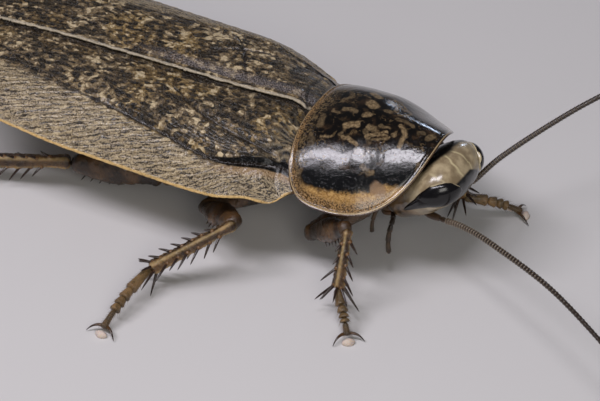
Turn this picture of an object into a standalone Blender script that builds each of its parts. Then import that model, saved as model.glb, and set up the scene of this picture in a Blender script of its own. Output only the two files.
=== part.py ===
"""A life-size speckled cockroach that stands still, with each part that has a name as one closed solid.

Sizes and places are in millimetres, and become metres where a mesh is made. X points forwards,
Y to the animal's left and Z up. While the parts are made, the floor is Z = 0 and the hind edge
of the neck shield (pronotum) is X = 0; at the end the whole is moved to stand on its box's centre.
"""

import math

import bmesh
import bpy
import numpy as np
from mathutils import Vector

MM = 0.001
GAP = 0.3
WELD = 0.002

# The neck shield (pronotum): plan, and the heights of its edge and its crown.
SHIELD_WIDEST_X = 2.53
SHIELD_FORE_REACH = 3.83
SHIELD_HIND_REACH = 2.7
SHIELD_HALF_WIDTH = 4.5
SHIELD_FRONT_HEIGHT = 7.08
SHIELD_SIDE_HEIGHT = 4.7
SHIELD_HIND_HEIGHT = 7.03
SHIELD_CROWN_HEIGHT = 7.65
SHIELD_FRONT_POWER = 1.98
SHIELD_HIND_POWER = 3.5
SHIELD_HIND_FALL_POWER = 2.4
SHIELD_FULLNESS = 1.76
SHIELD_SIDE_FULLNESS = 0.3
SHIELD_RIM_DEPTH = 0.06
SHIELD_RIM_RADIUS = 0.94
SHIELD_RIM_WIDTH = 0.03
SHIELD_THICKNESS = 0.55
SHIELD_RADII = (0.0, 0.24, 0.45, 0.63, 0.78, 0.89, 0.94, 1.0)
SHIELD_STEPS = 36

# The fore wings (tegmina): plan, the height of their back and the depth of their sides.
WING_TIP_X = -20.5
WING_HALF_WIDTH = 5.7
WING_BACK_HEIGHT = 7.15
WING_BACK_SLOPE = 0.023
WING_TIP_BEND_X = -13.0
WING_TIP_BEND = 0.012
WING_SIDE_DEPTH = 2.5
WING_SIDE_SLOPE = 0.045
WING_SIDE_POWER = 3.0
WING_ROOT_SOFTNESS = 1.2
WING_ROOT_DIP = 0.22
WING_SHOULDERS = {1: (0.76, 0.3), -1: (0.86, 0.18)}
WING_SHOULDER_POWER = 0.7
WING_TAPER = 0.06
WING_TIP_SHARE = 0.3
WING_TIP_POWER = 2.3
WING_LAP = 0.3
WING_LAP_DEPTH = 0.12
WING_LAP_EASE = 1.4
WING_THICKNESS = 0.5
WING_BEYOND_SHIELD = 0.12
WING_ROWS = 31
WING_INNER_COLUMNS = 10
WING_OUTER_COLUMNS = 4
VEIN_COLUMNS = (2, 4, 6, 8, 12)
VEIN_HEIGHT = 0.1
GROOVE_ROOT_SHARE = 0.75
GROOVE_TAPER = 0.2
GROOVE_DEPTH = 0.1
CLAVUS_WIDTH = 3.2
CLAVUS_SHARE = 0.36
CLAVUS_POWER = 2.2
FURROW_DEPTH = 0.14
FURROW_WIDTH = 0.4

# Behind the shield the body leans: its left side is up, and its middle is moved to the right.
LEAN = 4.2
LEAN_SHIFT = -0.1
LEAN_HEIGHT = 5.0
LEAN_START_X = 1.0
LEAN_FULL_X = -5.0

# The head: its crown, the lean of its long axis below the horizontal, and its sizes.
CROWN = (7.55, 0.0, 6.05)
HEAD_LEAN = 43.0
HEAD_LENGTH = 4.7
HEAD_HALF_WIDTH = 2.12
HEAD_HALF_DEPTH = 1.2
HEAD_SQUARENESS = 0.85
HEAD_SIDES = 20
HEAD_RINGS = 13
EYE_FRONT = (7.85, 1.45, 5.7)
EYE_TAIL = (5.3, 1.95, 4.0)
EYE_BULGE = 0.5
EYE_HALF_WIDTH = 0.62
EYE_RINGS = 10
EYE_SIDES = 12

# The upper lip's slices: the way down from the head's end, half width, half depth and the way out.
LIP_SIDES = 12
LABRUM = ((0.0, 0.85, 0.4, 0.35), (0.5, 0.8, 0.4, 0.3), (1.1, 0.45, 0.25, 0.12))

# The left jaw feeler: two places on the head (down, across, out), then two beside it (x, y, z).
PALP_ON_HEAD = ((4.2, 1.35, 0.1), (3.7, 2.15, 0.35))
PALP_BESIDE = ((4.6, 2.25, 2.7), (4.9, 2.4, 1.5))
PALP_START = 0.12
PALP_STEPS = 10
PALP_HALF_WIDTH = 0.25
PALP_SWELL = 0.05
PALP_TIP_HALF_WIDTH = 0.16

# The feelers (antennae): their width at the root and the tip of the whip, and their course.
WHIP_ROOT_WIDTH = 0.52
WHIP_TIP_WIDTH = 0.24
FEELER_BASE_HALF_WIDTHS = (0.33, 0.36, 0.3)
FEELER_STEPS = 30
FEELER_CUTS = (0, 3, 15, 30)
FEELERS = {
    "right": (
        (6.1, -1.0, 3.4),
        (7.1, -1.35, 3.65),
        (8.6, -1.95, 4.1),
        (10.65, -3.0, 4.5),
        (14.5, -5.1, 4.9),
        (18.7, -7.7, 4.65),
        (22.2, -9.9, 4.1),
    ),
    "left": (
        (6.1, 1.0, 3.4),
        (7.1, 1.5, 3.75),
        (8.1, 2.8, 4.8),
        (9.8, 4.7, 6.1),
        (11.6, 6.6, 7.2),
        (15.0, 10.5, 8.6),
        (17.5, 13.5, 9.0),
    ),
}

# The thorax's rings: front and hind end, half width, and the heights of back, side edge and belly.
PROTHORAX = (4.3, 1.0, 2.7, 6.4, 4.9, 3.5)
MESOTHORAX = (0.7, -2.7, 3.4, 5.15, 4.1, 3.05)
METATHORAX = (-3.0, -5.9, 3.8, 5.0, 3.9, 2.9)
THORAX_SLICES = 6
BODY_SQUARENESS = 0.85
BODY_SIDES = 20
BODY_SWELL = 0.14

# The abdomen: where it starts and ends, its widest half, its rings and their flare, and its heights.
ABDOMEN_FRONT_X = -6.2
ABDOMEN_TIP_X = -21.0
ABDOMEN_HALF_WIDTH = 4.45
ABDOMEN_RINGS = 8
ABDOMEN_FLARES = ((0.0, 0.96), (0.6, 1.0), (0.96, 1.02))
ABDOMEN_EDGE_HEIGHT = 4.05
ABDOMEN_EDGE_SLOPE = 0.2
ABDOMEN_UNDER_WINGS = 2.15
ABDOMEN_BELLY_DEPTH = 1.55
ABDOMEN_BELLY_TAPER = 0.65

# The left tail feeler (cercus): its root, its reach and its half width.
CERCUS_ROOT = (-19.65, 1.9, 3.75)
CERCUS_REACH = (-2.1, 0.95, 0.1)
CERCUS_HALF_WIDTH = 0.36

# Each leg's joints: hip on the body, trochanter, knee, ankle and toe pad.
LEGS = {
    "fore_right": (
        (3.3, -1.3, 3.3),
        (0.9, -2.8, 1.6),
        (3.8, -4.5, 4.1),
        (4.0, -5.9, 1.6),
        (5.4, -7.5, 0.0),
    ),
    "fore_left": (
        (3.3, 1.3, 3.3),
        (1.9, 2.6, 1.7),
        (4.7, 3.7, 3.8),
        (6.0, 3.3, 1.3),
        (8.6, 4.8, 0.0),
    ),
    "mid_right": (
        (-1.2, -1.5, 2.9),
        (-4.4, -3.4, 1.65),
        (-1.4, -5.8, 3.4),
        (-4.7, -8.2, 1.15),
        (-5.0, -12.3, 0.0),
    ),
    "mid_left": (
        (-1.2, 1.5, 2.9),
        (-4.4, 3.3, 1.65),
        (-2.0, 5.6, 3.4),
        (-4.8, 7.7, 1.25),
        (-7.2, 10.6, 0.0),
    ),
    "hind_right": (
        (-4.6, -1.4, 2.7),
        (-7.4, -2.3, 1.45),
        (-11.7, -3.5, 1.75),
        (-16.9, -5.1, 1.1),
        (-20.2, -6.9, 0.0),
    ),
    "hind_left": (
        (-4.6, 1.4, 2.7),
        (-7.5, 2.8, 1.5),
        (-11.2, 5.4, 2.4),
        (-16.4, 8.0, 1.15),
        (-19.6, 10.3, 0.0),
    ),
}
STOUTNESS = {"fore": 0.88, "mid": 1.0, "hind": 1.08}

# Half widths from the start to the end of each piece of a leg, across its plane and in it.
COXA_THINS = (0.62, 0.6, 0.5, 0.36)
COXA_DEEPS = (0.85, 1.0, 0.8, 0.42)
FEMUR_THINS = (0.32, 0.36, 0.36, 0.44, 0.45, 0.38, 0.34)
FEMUR_DEEPS = (0.4, 0.46, 0.42, 0.64, 0.66, 0.5, 0.38)
TIBIA_THIN = 0.31
TIBIA_DEEP = 0.33
TIBIA_END_SWELL = 1.15
LIMB_RINGS = 6
LIMB_SIDES = 10

# The spines of the tibia, in rows down it and as a crown of spurs round its end.
TIBIA_SPINES = {"fore": 9, "mid": 14, "hind": 16}
SPINE_FIRST_SHARE = 0.2
SPINE_SPAN = 0.66
SPINE_ROW_TURN = 2.1
SPINE_LENGTH = 0.95
SPINE_HALF_WIDTH = 0.2
SPINE_LEAN = 0.75
SPUR_COUNT = 4
SPUR_SHARE = 0.93

# The foot: the shares of its five joints and their half widths, its claws and its pad.
TARSUS_SHARES = (0.36, 0.15, 0.11, 0.1, 0.28)
TARSUS_GIRTHS = ((0.04, 0.25), (0.8, 0.3))
TARSUS_END_HALF_WIDTH = 0.27
TARSUS_SIDES = 8
WRIST_HEIGHT = 0.42
WRIST_BACK = 0.15
CLAW_HALF_WIDTHS = (0.2, 0.19, 0.15, 0.1, 0.04)
PAD_SLICES = ((0.0, 0.85), (0.12, 1.0), (0.3, 0.9), (0.5, 0.5))
PAD_HALF_LENGTH = 0.32
PAD_HALF_WIDTH = 0.38


def clear_scene():
    for obj in list(bpy.data.objects):
        bpy.data.objects.remove(obj)


def material(name, colour, roughness):
    made = bpy.data.materials.new(name)
    made.use_nodes = True
    shader = made.node_tree.nodes["Principled BSDF"]
    shader.inputs["Base Color"].default_value = (*colour, 1.0)
    shader.inputs["Roughness"].default_value = roughness
    shader.inputs["Metallic"].default_value = 0.0
    made.diffuse_color = (*colour, 1.0)
    return made


def add_mesh(name, points, faces, finish):
    """An object from points in millimetres, its faces turned outwards."""
    mesh = bpy.data.meshes.new(name)
    mesh.from_pydata([Vector(p) * MM for p in points], [], [list(map(int, f)) for f in faces])
    shape = bmesh.new()
    shape.from_mesh(mesh)
    bmesh.ops.recalc_face_normals(shape, faces=shape.faces)
    shape.to_mesh(mesh)
    shape.free()
    mesh.materials.append(finish)
    mesh.shade_smooth()
    made = bpy.data.objects.new(name, mesh)
    bpy.context.scene.collection.objects.link(made)
    return made


def unit(vector):
    vector = np.asarray(vector, float)
    return vector / np.linalg.norm(vector)


def smooth_step(low, high, value):
    share = np.clip((value - low) / (high - low), 0.0, 1.0)
    return share * share * (3.0 - 2.0 * share)


def signed_power(value, power):
    return math.copysign(abs(value) ** power, value)


def point_normals(points, faces):
    """Each point's outward normal, for points and triangles that face outwards."""
    corners = points[faces]
    face_normals = np.cross(corners[:, 1] - corners[:, 0], corners[:, 2] - corners[:, 0])
    normals = np.zeros_like(points)
    for corner in range(3):
        np.add.at(normals, faces[:, corner], face_normals)
    return normals / np.linalg.norm(normals, axis=1)[:, None]


def add_shell(name, points, faces, rim, thickness, finish):
    """A curved plate: an upper skin of triangles, the same skin set in by the thickness, and a rim."""
    count = len(points)
    lower = points - point_normals(points, faces) * np.reshape(thickness, (-1, 1))
    sides = []
    for here, after in zip(rim, np.roll(rim, -1)):
        sides.append((here, here + count, after + count))
        sides.append((here, after + count, after))
    skins = np.vstack([faces, faces[:, ::-1] + count])
    return add_mesh(name, np.vstack([points, lower]), [*skins, *sides], finish)


def add_loft(name, rings, finish):
    """A closed body through rings of equally many points, with flat ends."""
    sides = len(rings[0])
    points = np.vstack(rings)
    faces = []
    for row in range(len(rings) - 1):
        for side in range(sides):
            here = row * sides + side
            after = row * sides + (side + 1) % sides
            faces.append((here, after, after + sides, here + sides))
    faces.append(tuple(range(sides))[::-1])
    faces.append(tuple(range(len(points) - sides, len(points))))
    return add_mesh(name, points, faces, finish)


def sweep_rings(path, half_thins, half_deeps, thin_axis, sides, first_normal=None, last_normal=None):
    """Oval rings along a path. A ring lies in the plane that halves the bend there; the two end
    rings lie square to the path, or in the plane of the normal given."""
    path = np.asarray(path, float)
    steps = [unit(b - a) for a, b in zip(path[:-1], path[1:])]
    rings = []
    for index, centre in enumerate(path):
        along = steps[min(index, len(steps) - 1)]
        normal = unit(along + steps[index - 1]) if 0 < index < len(steps) else along
        if index == 0 and first_normal is not None:
            normal = unit(first_normal)
        if index == len(steps) and last_normal is not None:
            normal = unit(last_normal)
        across = unit(np.asarray(thin_axis, float) - np.dot(thin_axis, along) * along)
        up = np.cross(along, across)
        ring = []
        for side in range(sides):
            angle = 2.0 * math.pi * (side + 0.5) / sides
            sideways = across * half_thins[index] * math.cos(angle)
            offset = sideways + up * half_deeps[index] * math.sin(angle)
            ring.append(centre + offset - along * np.dot(offset, normal) / np.dot(along, normal))
        rings.append(np.array(ring))
    return rings


def evaluated_copy(obj):
    graph = bpy.context.evaluated_depsgraph_get()
    return bpy.data.meshes.new_from_object(obj.evaluated_get(graph))


def keep_largest_surface(obj):
    """Welds points that nearly meet and drops every closed surface of a mesh but the largest."""
    shape = bmesh.new()
    shape.from_mesh(obj.data)
    bmesh.ops.remove_doubles(shape, verts=shape.verts, dist=WELD * MM)
    left = set(shape.verts)
    groups = []
    while left:
        front = [left.pop()]
        group = set(front)
        while front:
            for edge in front.pop().link_edges:
                for vert in edge.verts:
                    if vert in left:
                        left.remove(vert)
                        group.add(vert)
                        front.append(vert)
        groups.append(group)
    if len(groups) > 1:
        def extent(group):
            places = np.array([vert.co for vert in group])
            return np.prod(places.max(0) - places.min(0))

        largest = max(groups, key=extent)
        spare = [vert for vert in shape.verts if vert not in largest]
        bmesh.ops.delete(shape, geom=spare, context="VERTS")
    shape.to_mesh(obj.data)
    shape.free()


def apply_boolean(obj, others, operation, solver="EXACT"):
    """Joins the others to an object, or cuts them from it, and removes them."""
    group = bpy.data.collections.new("pieces")
    bpy.context.scene.collection.children.link(group)
    for other in others:
        for holder in list(other.users_collection):
            holder.objects.unlink(other)
        group.objects.link(other)
    boolean = obj.modifiers.new("join", "BOOLEAN")
    boolean.operation = operation
    boolean.operand_type = "COLLECTION"
    boolean.collection = group
    boolean.solver = solver
    if solver == "EXACT":
        boolean.use_self = len(others) > 1
    joined = evaluated_copy(obj)
    obj.modifiers.remove(boolean)
    obj.data = joined
    for other in others:
        bpy.data.objects.remove(other)
    bpy.data.collections.remove(group)
    keep_largest_surface(obj)
    return obj


def fuse(obj, pieces):
    return apply_boolean(obj, pieces, "UNION") if pieces else obj


def keep_clear(obj, *neighbours):
    """Cuts from an object whatever lies within the gap of its neighbours."""
    cutters = []
    for neighbour in neighbours:
        mesh = evaluated_copy(neighbour)
        shape = bmesh.new()
        shape.from_mesh(mesh)
        bmesh.ops.triangulate(shape, faces=shape.faces)
        shape.normal_update()
        moves = [(vert, vert.co + vert.normal * GAP * MM * vert.calc_shell_factor()) for vert in shape.verts]
        for vert, place in moves:
            vert.co = place
        shape.to_mesh(mesh)
        shape.free()
        cutter = bpy.data.objects.new("cutter", mesh)
        bpy.context.scene.collection.objects.link(cutter)
        cutters.append(cutter)
    for cutter in cutters:
        apply_boolean(obj, [cutter], "DIFFERENCE", "MANIFOLD")
    return obj


def shield_reach(turn, grow=0.0):
    """How far the shield's edge, or a line a little outside it, lies from its widest place."""
    ahead, aside = abs(math.cos(turn)), abs(math.sin(turn))
    front = math.cos(turn) > 0
    along = (SHIELD_FORE_REACH if front else SHIELD_HIND_REACH) + grow
    power = SHIELD_FRONT_POWER if front else SHIELD_HIND_POWER
    return ((ahead / along) ** power + (aside / (SHIELD_HALF_WIDTH + grow)) ** power) ** (-1.0 / power)


def shield_point(radius, turn):
    """A point of the shield's upper face: radius 0 is the crown and 1 the edge, turn 0 the front."""
    reach = radius * shield_reach(turn)
    x = SHIELD_WIDEST_X + reach * math.cos(turn)
    y = reach * math.sin(turn)
    share = min(1.0, shield_reach(turn) * abs(math.sin(turn)) / SHIELD_HALF_WIDTH)
    if math.cos(turn) > 0:
        rise = SHIELD_SIDE_HEIGHT - SHIELD_FRONT_HEIGHT
        edge = SHIELD_FRONT_HEIGHT + rise * smooth_step(0.0, 1.0, share)
    else:
        rise = SHIELD_SIDE_HEIGHT - SHIELD_HIND_HEIGHT
        edge = SHIELD_HIND_HEIGHT + rise * share**SHIELD_HIND_FALL_POWER
    fullness = SHIELD_FULLNESS + SHIELD_SIDE_FULLNESS * share
    rim = SHIELD_RIM_DEPTH * math.exp(-(((radius - SHIELD_RIM_RADIUS) / SHIELD_RIM_WIDTH) ** 2))
    return np.array([x, y, edge + (SHIELD_CROWN_HEIGHT - edge) * (1.0 - radius**fullness) - rim])


def shield_hind_x(y, grow=0.0):
    """Where the shield's hind edge lies, or a line a little behind it, by the way from the middle."""
    share = min(abs(y) / (SHIELD_HALF_WIDTH + grow), 1.0)
    bend = (1.0 - share**SHIELD_HIND_POWER) ** (1.0 / SHIELD_HIND_POWER)
    return SHIELD_WIDEST_X - (SHIELD_HIND_REACH + grow) * bend


def lean(point):
    """Turns and moves a point behind the shield with the body, which leans there."""
    share = smooth_step(LEAN_START_X, LEAN_FULL_X, point[0])
    turn = math.radians(LEAN) * share
    y = point[1]
    z = point[2] - LEAN_HEIGHT
    leaned_y = y * math.cos(turn) - z * math.sin(turn) + LEAN_SHIFT * share
    return np.array([point[0], leaned_y, LEAN_HEIGHT + y * math.sin(turn) + z * math.cos(turn)])


def make_shield(finish):
    turns = [2.0 * math.pi * step / SHIELD_STEPS for step in range(SHIELD_STEPS)]
    points = [shield_point(0.0, 0.0)]
    points += [shield_point(radius, turn) for radius in SHIELD_RADII[1:] for turn in turns]
    faces = []
    for step in range(SHIELD_STEPS):
        after = (step + 1) % SHIELD_STEPS
        faces.append((0, 1 + step, 1 + after))
        for ring in range(len(SHIELD_RADII) - 2):
            low = 1 + ring * SHIELD_STEPS
            high = low + SHIELD_STEPS
            faces.append((low + step, high + step, high + after))
            faces.append((low + step, high + after, low + after))
    rim = np.arange(len(points) - SHIELD_STEPS, len(points))
    return add_shell("pronotum", np.array(points), np.array(faces), rim, SHIELD_THICKNESS, finish)


def wing_shoulder(share, side):
    """How much of its full width a wing has near its root, less on the left."""
    root, full_at = WING_SHOULDERS[side]
    return root + (1.0 - root) * smooth_step(0.0, full_at, share) ** WING_SHOULDER_POWER


def wing_half_width(share, side):
    """Half the width of the folded fore wings, by the share of their length from the root."""
    taper = 1.0 - WING_TAPER * smooth_step(0.5, 0.9, share)
    into_tip = max(0.0, (share - (1.0 - WING_TIP_SHARE)) / WING_TIP_SHARE)
    tip = max(0.0, 1.0 - into_tip**WING_TIP_POWER) ** 0.5
    return WING_HALF_WIDTH * wing_shoulder(share, side) * taper * tip


def wing_back(x):
    """The height of the folded wings along their middle line."""
    bend = min(0.0, x - WING_TIP_BEND_X)
    return WING_BACK_HEIGHT + WING_BACK_SLOPE * x - WING_TIP_BEND * bend**2


def furrow_drop(share, y):
    """The curved furrow round the clavus, the oval field beside the middle line at the wing's root."""
    line = CLAVUS_WIDTH * max(0.0, 1.0 - (share / CLAVUS_SHARE) ** CLAVUS_POWER) ** 0.5
    inside = smooth_step(0.42, 0.3, share)
    return FURROW_DEPTH * math.exp(-(((abs(y) - line) / FURROW_WIDTH) ** 2)) * inside


def wing_point(share, column, side):
    """A point of a fore wing's upper face. Side is 1 for the left wing, which laps the right one."""
    half_width = wing_half_width(share, side)
    lap = WING_LAP * (1.0 - smooth_step(0.8, 1.0, share))
    groove = half_width * (GROOVE_ROOT_SHARE - GROOVE_TAPER * share)
    if column <= WING_INNER_COLUMNS:
        out = -lap + (groove + lap) * column / WING_INNER_COLUMNS
    else:
        out = groove + (half_width - groove) * (column - WING_INNER_COLUMNS) / WING_OUTER_COLUMNS
    root_x = shield_hind_x(min(out, SHIELD_HALF_WIDTH + WING_BEYOND_SHIELD), GAP)
    x = WING_TIP_X * share + root_x * (1.0 - smooth_step(0.0, 0.2, share))
    width_share = min(1.0, abs(out) / (WING_HALF_WIDTH * wing_shoulder(share, side)))
    power = WING_SIDE_POWER - WING_ROOT_SOFTNESS * smooth_step(0.25, 0.0, share)
    z = wing_back(x) - (WING_SIDE_DEPTH + WING_SIDE_SLOPE * x) * width_share**power
    ridge = VEIN_HEIGHT * (column in VEIN_COLUMNS) - GROOVE_DEPTH * (column == WING_INNER_COLUMNS)
    z += ridge * smooth_step(0.0, 0.1, share) * smooth_step(1.0, 0.9, share)
    z -= furrow_drop(share, out) + WING_ROOT_DIP * smooth_step(0.05, 0.0, share)
    if side < 0:
        under_left = smooth_step(lap + GAP + WING_LAP_EASE, lap + GAP, out)
        z -= (WING_THICKNESS + GAP + WING_LAP_DEPTH) * under_left
    return lean(np.array([x, side * out, z]))


def make_wing(name, side, finish):
    columns = WING_INNER_COLUMNS + WING_OUTER_COLUMNS
    wide = columns + 1
    points = []
    for row in range(WING_ROWS):
        even = row / (WING_ROWS - 1)
        share = 0.996 * (0.6 * even + 0.4 * (1.0 - math.cos(math.pi * even)) / 2.0)
        points += [wing_point(share, column, side) for column in range(wide)]
    faces = []
    for row in range(WING_ROWS - 1):
        for column in range(columns):
            here = row * wide + column
            faces.append((here, here + 1, here + 1 + wide))
            faces.append((here, here + 1 + wide, here + wide))
    last = (WING_ROWS - 1) * wide
    rim = [*range(columns), *(row * wide + columns for row in range(WING_ROWS - 1))]
    rim += [*range(last + columns, last, -1), *(row * wide for row in range(WING_ROWS - 1, 0, -1))]
    faces = np.array(faces)
    if side > 0:
        faces = faces[:, ::-1]
    return add_shell(name, np.array(points), faces, np.array(rim), WING_THICKNESS, finish)


def body_ring(x, half_width, top, edge, bottom, leans=False):
    """An oval slice across the body, with its own height for the back, the side edge and the belly."""
    ring = []
    for side in range(BODY_SIDES):
        angle = 2.0 * math.pi * (side + 0.5) / BODY_SIDES
        y = half_width * signed_power(math.cos(angle), BODY_SQUARENESS)
        lift = math.sin(angle)
        reach = top - edge if lift > 0 else edge - bottom
        spot = np.array([x, y, edge + reach * signed_power(lift, BODY_SQUARENESS)])
        ring.append(lean(spot) if leans else spot)
    return np.array(ring)


def make_thorax(name, front_x, hind_x, half_width, top, edge, bottom, finish):
    """One ring of the thorax, fullest in its middle."""
    rings = []
    for step in range(THORAX_SLICES):
        share = step / (THORAX_SLICES - 1)
        x = front_x + (hind_x - front_x) * share
        swell = 1.0 - BODY_SWELL + BODY_SWELL * math.sin(math.pi * share)
        rings.append(body_ring(x, half_width * swell, top, edge, edge - (edge - bottom) * swell))
    return add_loft(name, rings, finish)


def abdomen_half_width(share):
    swell = 1.0 - BODY_SWELL + BODY_SWELL * math.sin(math.pi * min(share * 1.25, 1.0))
    return ABDOMEN_HALF_WIDTH * swell * (1.0 - smooth_step(0.4, 1.2, share))


def make_abdomen(finish):
    """Rings that each flare towards the tail and lap the next one's narrower front."""
    length = ABDOMEN_TIP_X - ABDOMEN_FRONT_X
    rings = []
    for ring in range(ABDOMEN_RINGS):
        for place, flare in ABDOMEN_FLARES:
            share = (ring + place) / ABDOMEN_RINGS
            x = ABDOMEN_FRONT_X + length * share
            edge = ABDOMEN_EDGE_HEIGHT - ABDOMEN_EDGE_SLOPE * share
            top = edge + (wing_back(x) - ABDOMEN_UNDER_WINGS - edge) * flare
            bottom = edge - (ABDOMEN_BELLY_DEPTH - ABDOMEN_BELLY_TAPER * share**2) * flare
            rings.append(body_ring(x, abdomen_half_width(share) * flare, top, edge, bottom, leans=True))
    return add_loft("abdomen", rings, finish)


def head_axes():
    """The head's long axis, towards the mouth, and the way its face looks."""
    lean = math.radians(HEAD_LEAN)
    cosine, sine = math.cos(lean), math.sin(lean)
    return np.array([-cosine, 0.0, -sine]), np.array([sine, 0.0, -cosine])


def head_place(down, across, out):
    """A place by its way down the face from the crown, across it, and out of it."""
    down_axis, face_axis = head_axes()
    return np.array(CROWN) + down_axis * down + face_axis * out + np.array([0.0, across, 0.0])


def head_profile(share):
    """The head's half width and half depth by the share of its length."""
    width = HEAD_HALF_WIDTH * math.sin(math.pi * min(1.0, 0.06 + share * 0.94) ** 0.62) ** 0.6
    depth = HEAD_HALF_DEPTH * math.sin(math.pi * min(1.0, 0.05 + share * 0.93) ** 0.7) ** 0.6
    return width, depth


def make_head(finish):
    rings = []
    for step in range(HEAD_RINGS):
        share = (1.0 - math.cos(math.pi * step / (HEAD_RINGS - 1))) / 2.0
        width, depth = head_profile(0.02 + 0.9 * share)
        ring = []
        for side in range(HEAD_SIDES):
            angle = 2.0 * math.pi * side / HEAD_SIDES
            across = width * signed_power(math.cos(angle), HEAD_SQUARENESS)
            out = depth * signed_power(math.sin(angle), HEAD_SQUARENESS)
            ring.append(head_place(HEAD_LENGTH * share, across, out))
        rings.append(np.array(ring))
    return add_loft("head", rings, finish)


def make_eye(name, side, finish, grow=0.0):
    """A tear-shaped eye on the head's side, broad at the crown and drawn out towards the cheek."""
    front = np.array(EYE_FRONT) * (1, side, 1)
    tail = np.array(EYE_TAIL) * (1, side, 1)
    along = unit(tail - front)
    outward = unit(np.array([0.0, side, 0.0]) - side * along[1] * along)
    across = np.cross(along, outward)
    rings = []
    for step in range(EYE_RINGS):
        share = (1.0 - math.cos(math.pi * step / (EYE_RINGS - 1))) / 2.0
        swell = max(0.12, math.sin(math.pi * (0.03 + 0.94 * share) ** 0.6)) ** 0.75
        centre = front + (tail - front) * share + along * grow * (2 * share - 1)
        ring = []
        for corner in range(EYE_SIDES):
            angle = 2.0 * math.pi * corner / EYE_SIDES
            out_by = (EYE_BULGE * swell + grow) * math.cos(angle)
            across_by = (EYE_HALF_WIDTH * swell + grow) * math.sin(angle)
            ring.append(centre + outward * out_by + across * across_by)
        rings.append(np.array(ring))
    return add_loft(name, rings, finish)


def make_labrum(finish):
    """The upper lip hangs under the face, over the jaws."""
    rings = []
    for down, half_width, half_depth, out in LABRUM:
        ring = []
        for corner in range(LIP_SIDES):
            angle = 2.0 * math.pi * corner / LIP_SIDES
            across = half_width * math.cos(angle)
            ring.append(head_place(HEAD_LENGTH + GAP + down, across, out + half_depth * math.sin(angle)))
        rings.append(np.array(ring))
    return add_loft("labrum", rings, finish)


def bezier(points, share):
    points = [np.asarray(p, float) for p in points]
    while len(points) > 1:
        points = [a + (b - a) * share for a, b in zip(points[:-1], points[1:])]
    return points[0]


def spline(points, count):
    """Evenly spread points on a smooth line through the given ones."""
    points = np.asarray(points, float)
    padded = np.vstack([2 * points[0] - points[1], points, 2 * points[-1] - points[-2]])
    fine = []
    for index in range(len(points) - 1):
        a, b, c, d = padded[index : index + 4]
        for t in np.linspace(0.0, 1.0, 24, endpoint=index == len(points) - 2):
            square = (2 * a - 5 * b + 4 * c - d) * t**2
            cube = (3 * b - a - 3 * c + d) * t**3
            fine.append(0.5 * (2 * b + (c - a) * t + square + cube))
    fine = np.array(fine)
    run = np.concatenate([[0.0], np.cumsum(np.linalg.norm(np.diff(fine, axis=0), axis=1))])
    wanted = np.linspace(0.0, run[-1], count)
    return np.stack([np.interp(wanted, run, fine[:, axis]) for axis in range(3)], axis=1)


def make_feeler(side_name, places, head, finish):
    """A feeler in three nodes: its base of two stout joints, and its whip in two lengths."""
    path = list(spline(places, FEELER_STEPS + 1))
    shares = np.linspace(0.0, 1.0, FEELER_STEPS + 1)
    half = list(0.5 * (WHIP_ROOT_WIDTH + (WHIP_TIP_WIDTH - WHIP_ROOT_WIDTH) * shares**1.5))
    half[:3] = FEELER_BASE_HALF_WIDTHS
    lengths = []
    for name, start, end in zip(("base", "near_half", "far_half"), FEELER_CUTS[:-1], FEELER_CUTS[1:]):
        points = [path[index] for index in range(start, end + 1)]
        widths = half[start : end + 1]
        if start:
            points[0] = points[0] + unit(points[1] - points[0]) * GAP
        rings = sweep_rings(points, widths, widths, (0.0, 0.3, 1.0), 8)
        lengths.append(add_loft(f"feeler_{side_name}_{name}", rings, finish))
    return keep_clear(lengths[0], head)


def make_palp(name, side, finish):
    joints = [head_place(down, side * across, out) for down, across, out in PALP_ON_HEAD]
    joints += [np.array([x, side * y, z]) for x, y, z in PALP_BESIDE]
    shares = np.linspace(PALP_START, 1.0, PALP_STEPS + 1)
    path = [bezier(joints, share) for share in shares]
    half = [PALP_HALF_WIDTH + PALP_SWELL * math.cos(step * math.pi) for step in range(PALP_STEPS)]
    half.append(PALP_TIP_HALF_WIDTH)
    return add_loft(name, sweep_rings(path, half, half, (1.0, 0.2, 0.0), 8), finish)


def make_cercus(name, side, finish):
    mirror = np.array([1.0, side, 1.0])
    shares = np.linspace(0.0, 1.0, 9)
    path = [lean((CERCUS_ROOT + np.array(CERCUS_REACH) * share) * mirror) for share in shares]
    half = [CERCUS_HALF_WIDTH * math.sin(math.pi * (0.28 + 0.68 * share)) for share in shares]
    return add_loft(name, sweep_rings(path, half, half, (0.0, 0.0, 1.0), 10), finish)


def joint_cut(joint, before, after, forward):
    """The centre and the normal of the flat end that a limb piece has at a joint."""
    into, out = unit(joint - before), unit(after - joint)
    normal = unit(into + out)
    along = out if forward else into
    shift = (GAP / 2.0) / np.dot(along, normal)
    return joint + along * shift * (1 if forward else -1), normal


def tapered(start, end, halves, count):
    """Points from start to end and the widths there, read from a short list of widths."""
    shares = np.linspace(0.0, 1.0, count)
    marks = np.linspace(0.0, 1.0, len(halves))
    return [start + (end - start) * s for s in shares], [float(np.interp(s, marks, halves)) for s in shares]


def make_limb_piece(name, before, start, end, after, thins, deeps, plane, finish, first_normal=None):
    """One straight piece of a leg between two joints, with flat ends that face its neighbours."""
    if first_normal is None:
        begin, first_normal = joint_cut(start, before, end, True)
    else:
        begin = start
    finish_at, last_normal = joint_cut(end, start, after, False)
    path, half_thins = tapered(begin, finish_at, thins, LIMB_RINGS)
    half_deeps = tapered(begin, finish_at, deeps, LIMB_RINGS)[1]
    rings = sweep_rings(path, half_thins, half_deeps, plane, LIMB_SIDES, first_normal, last_normal)
    return add_loft(name, rings, finish)


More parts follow.
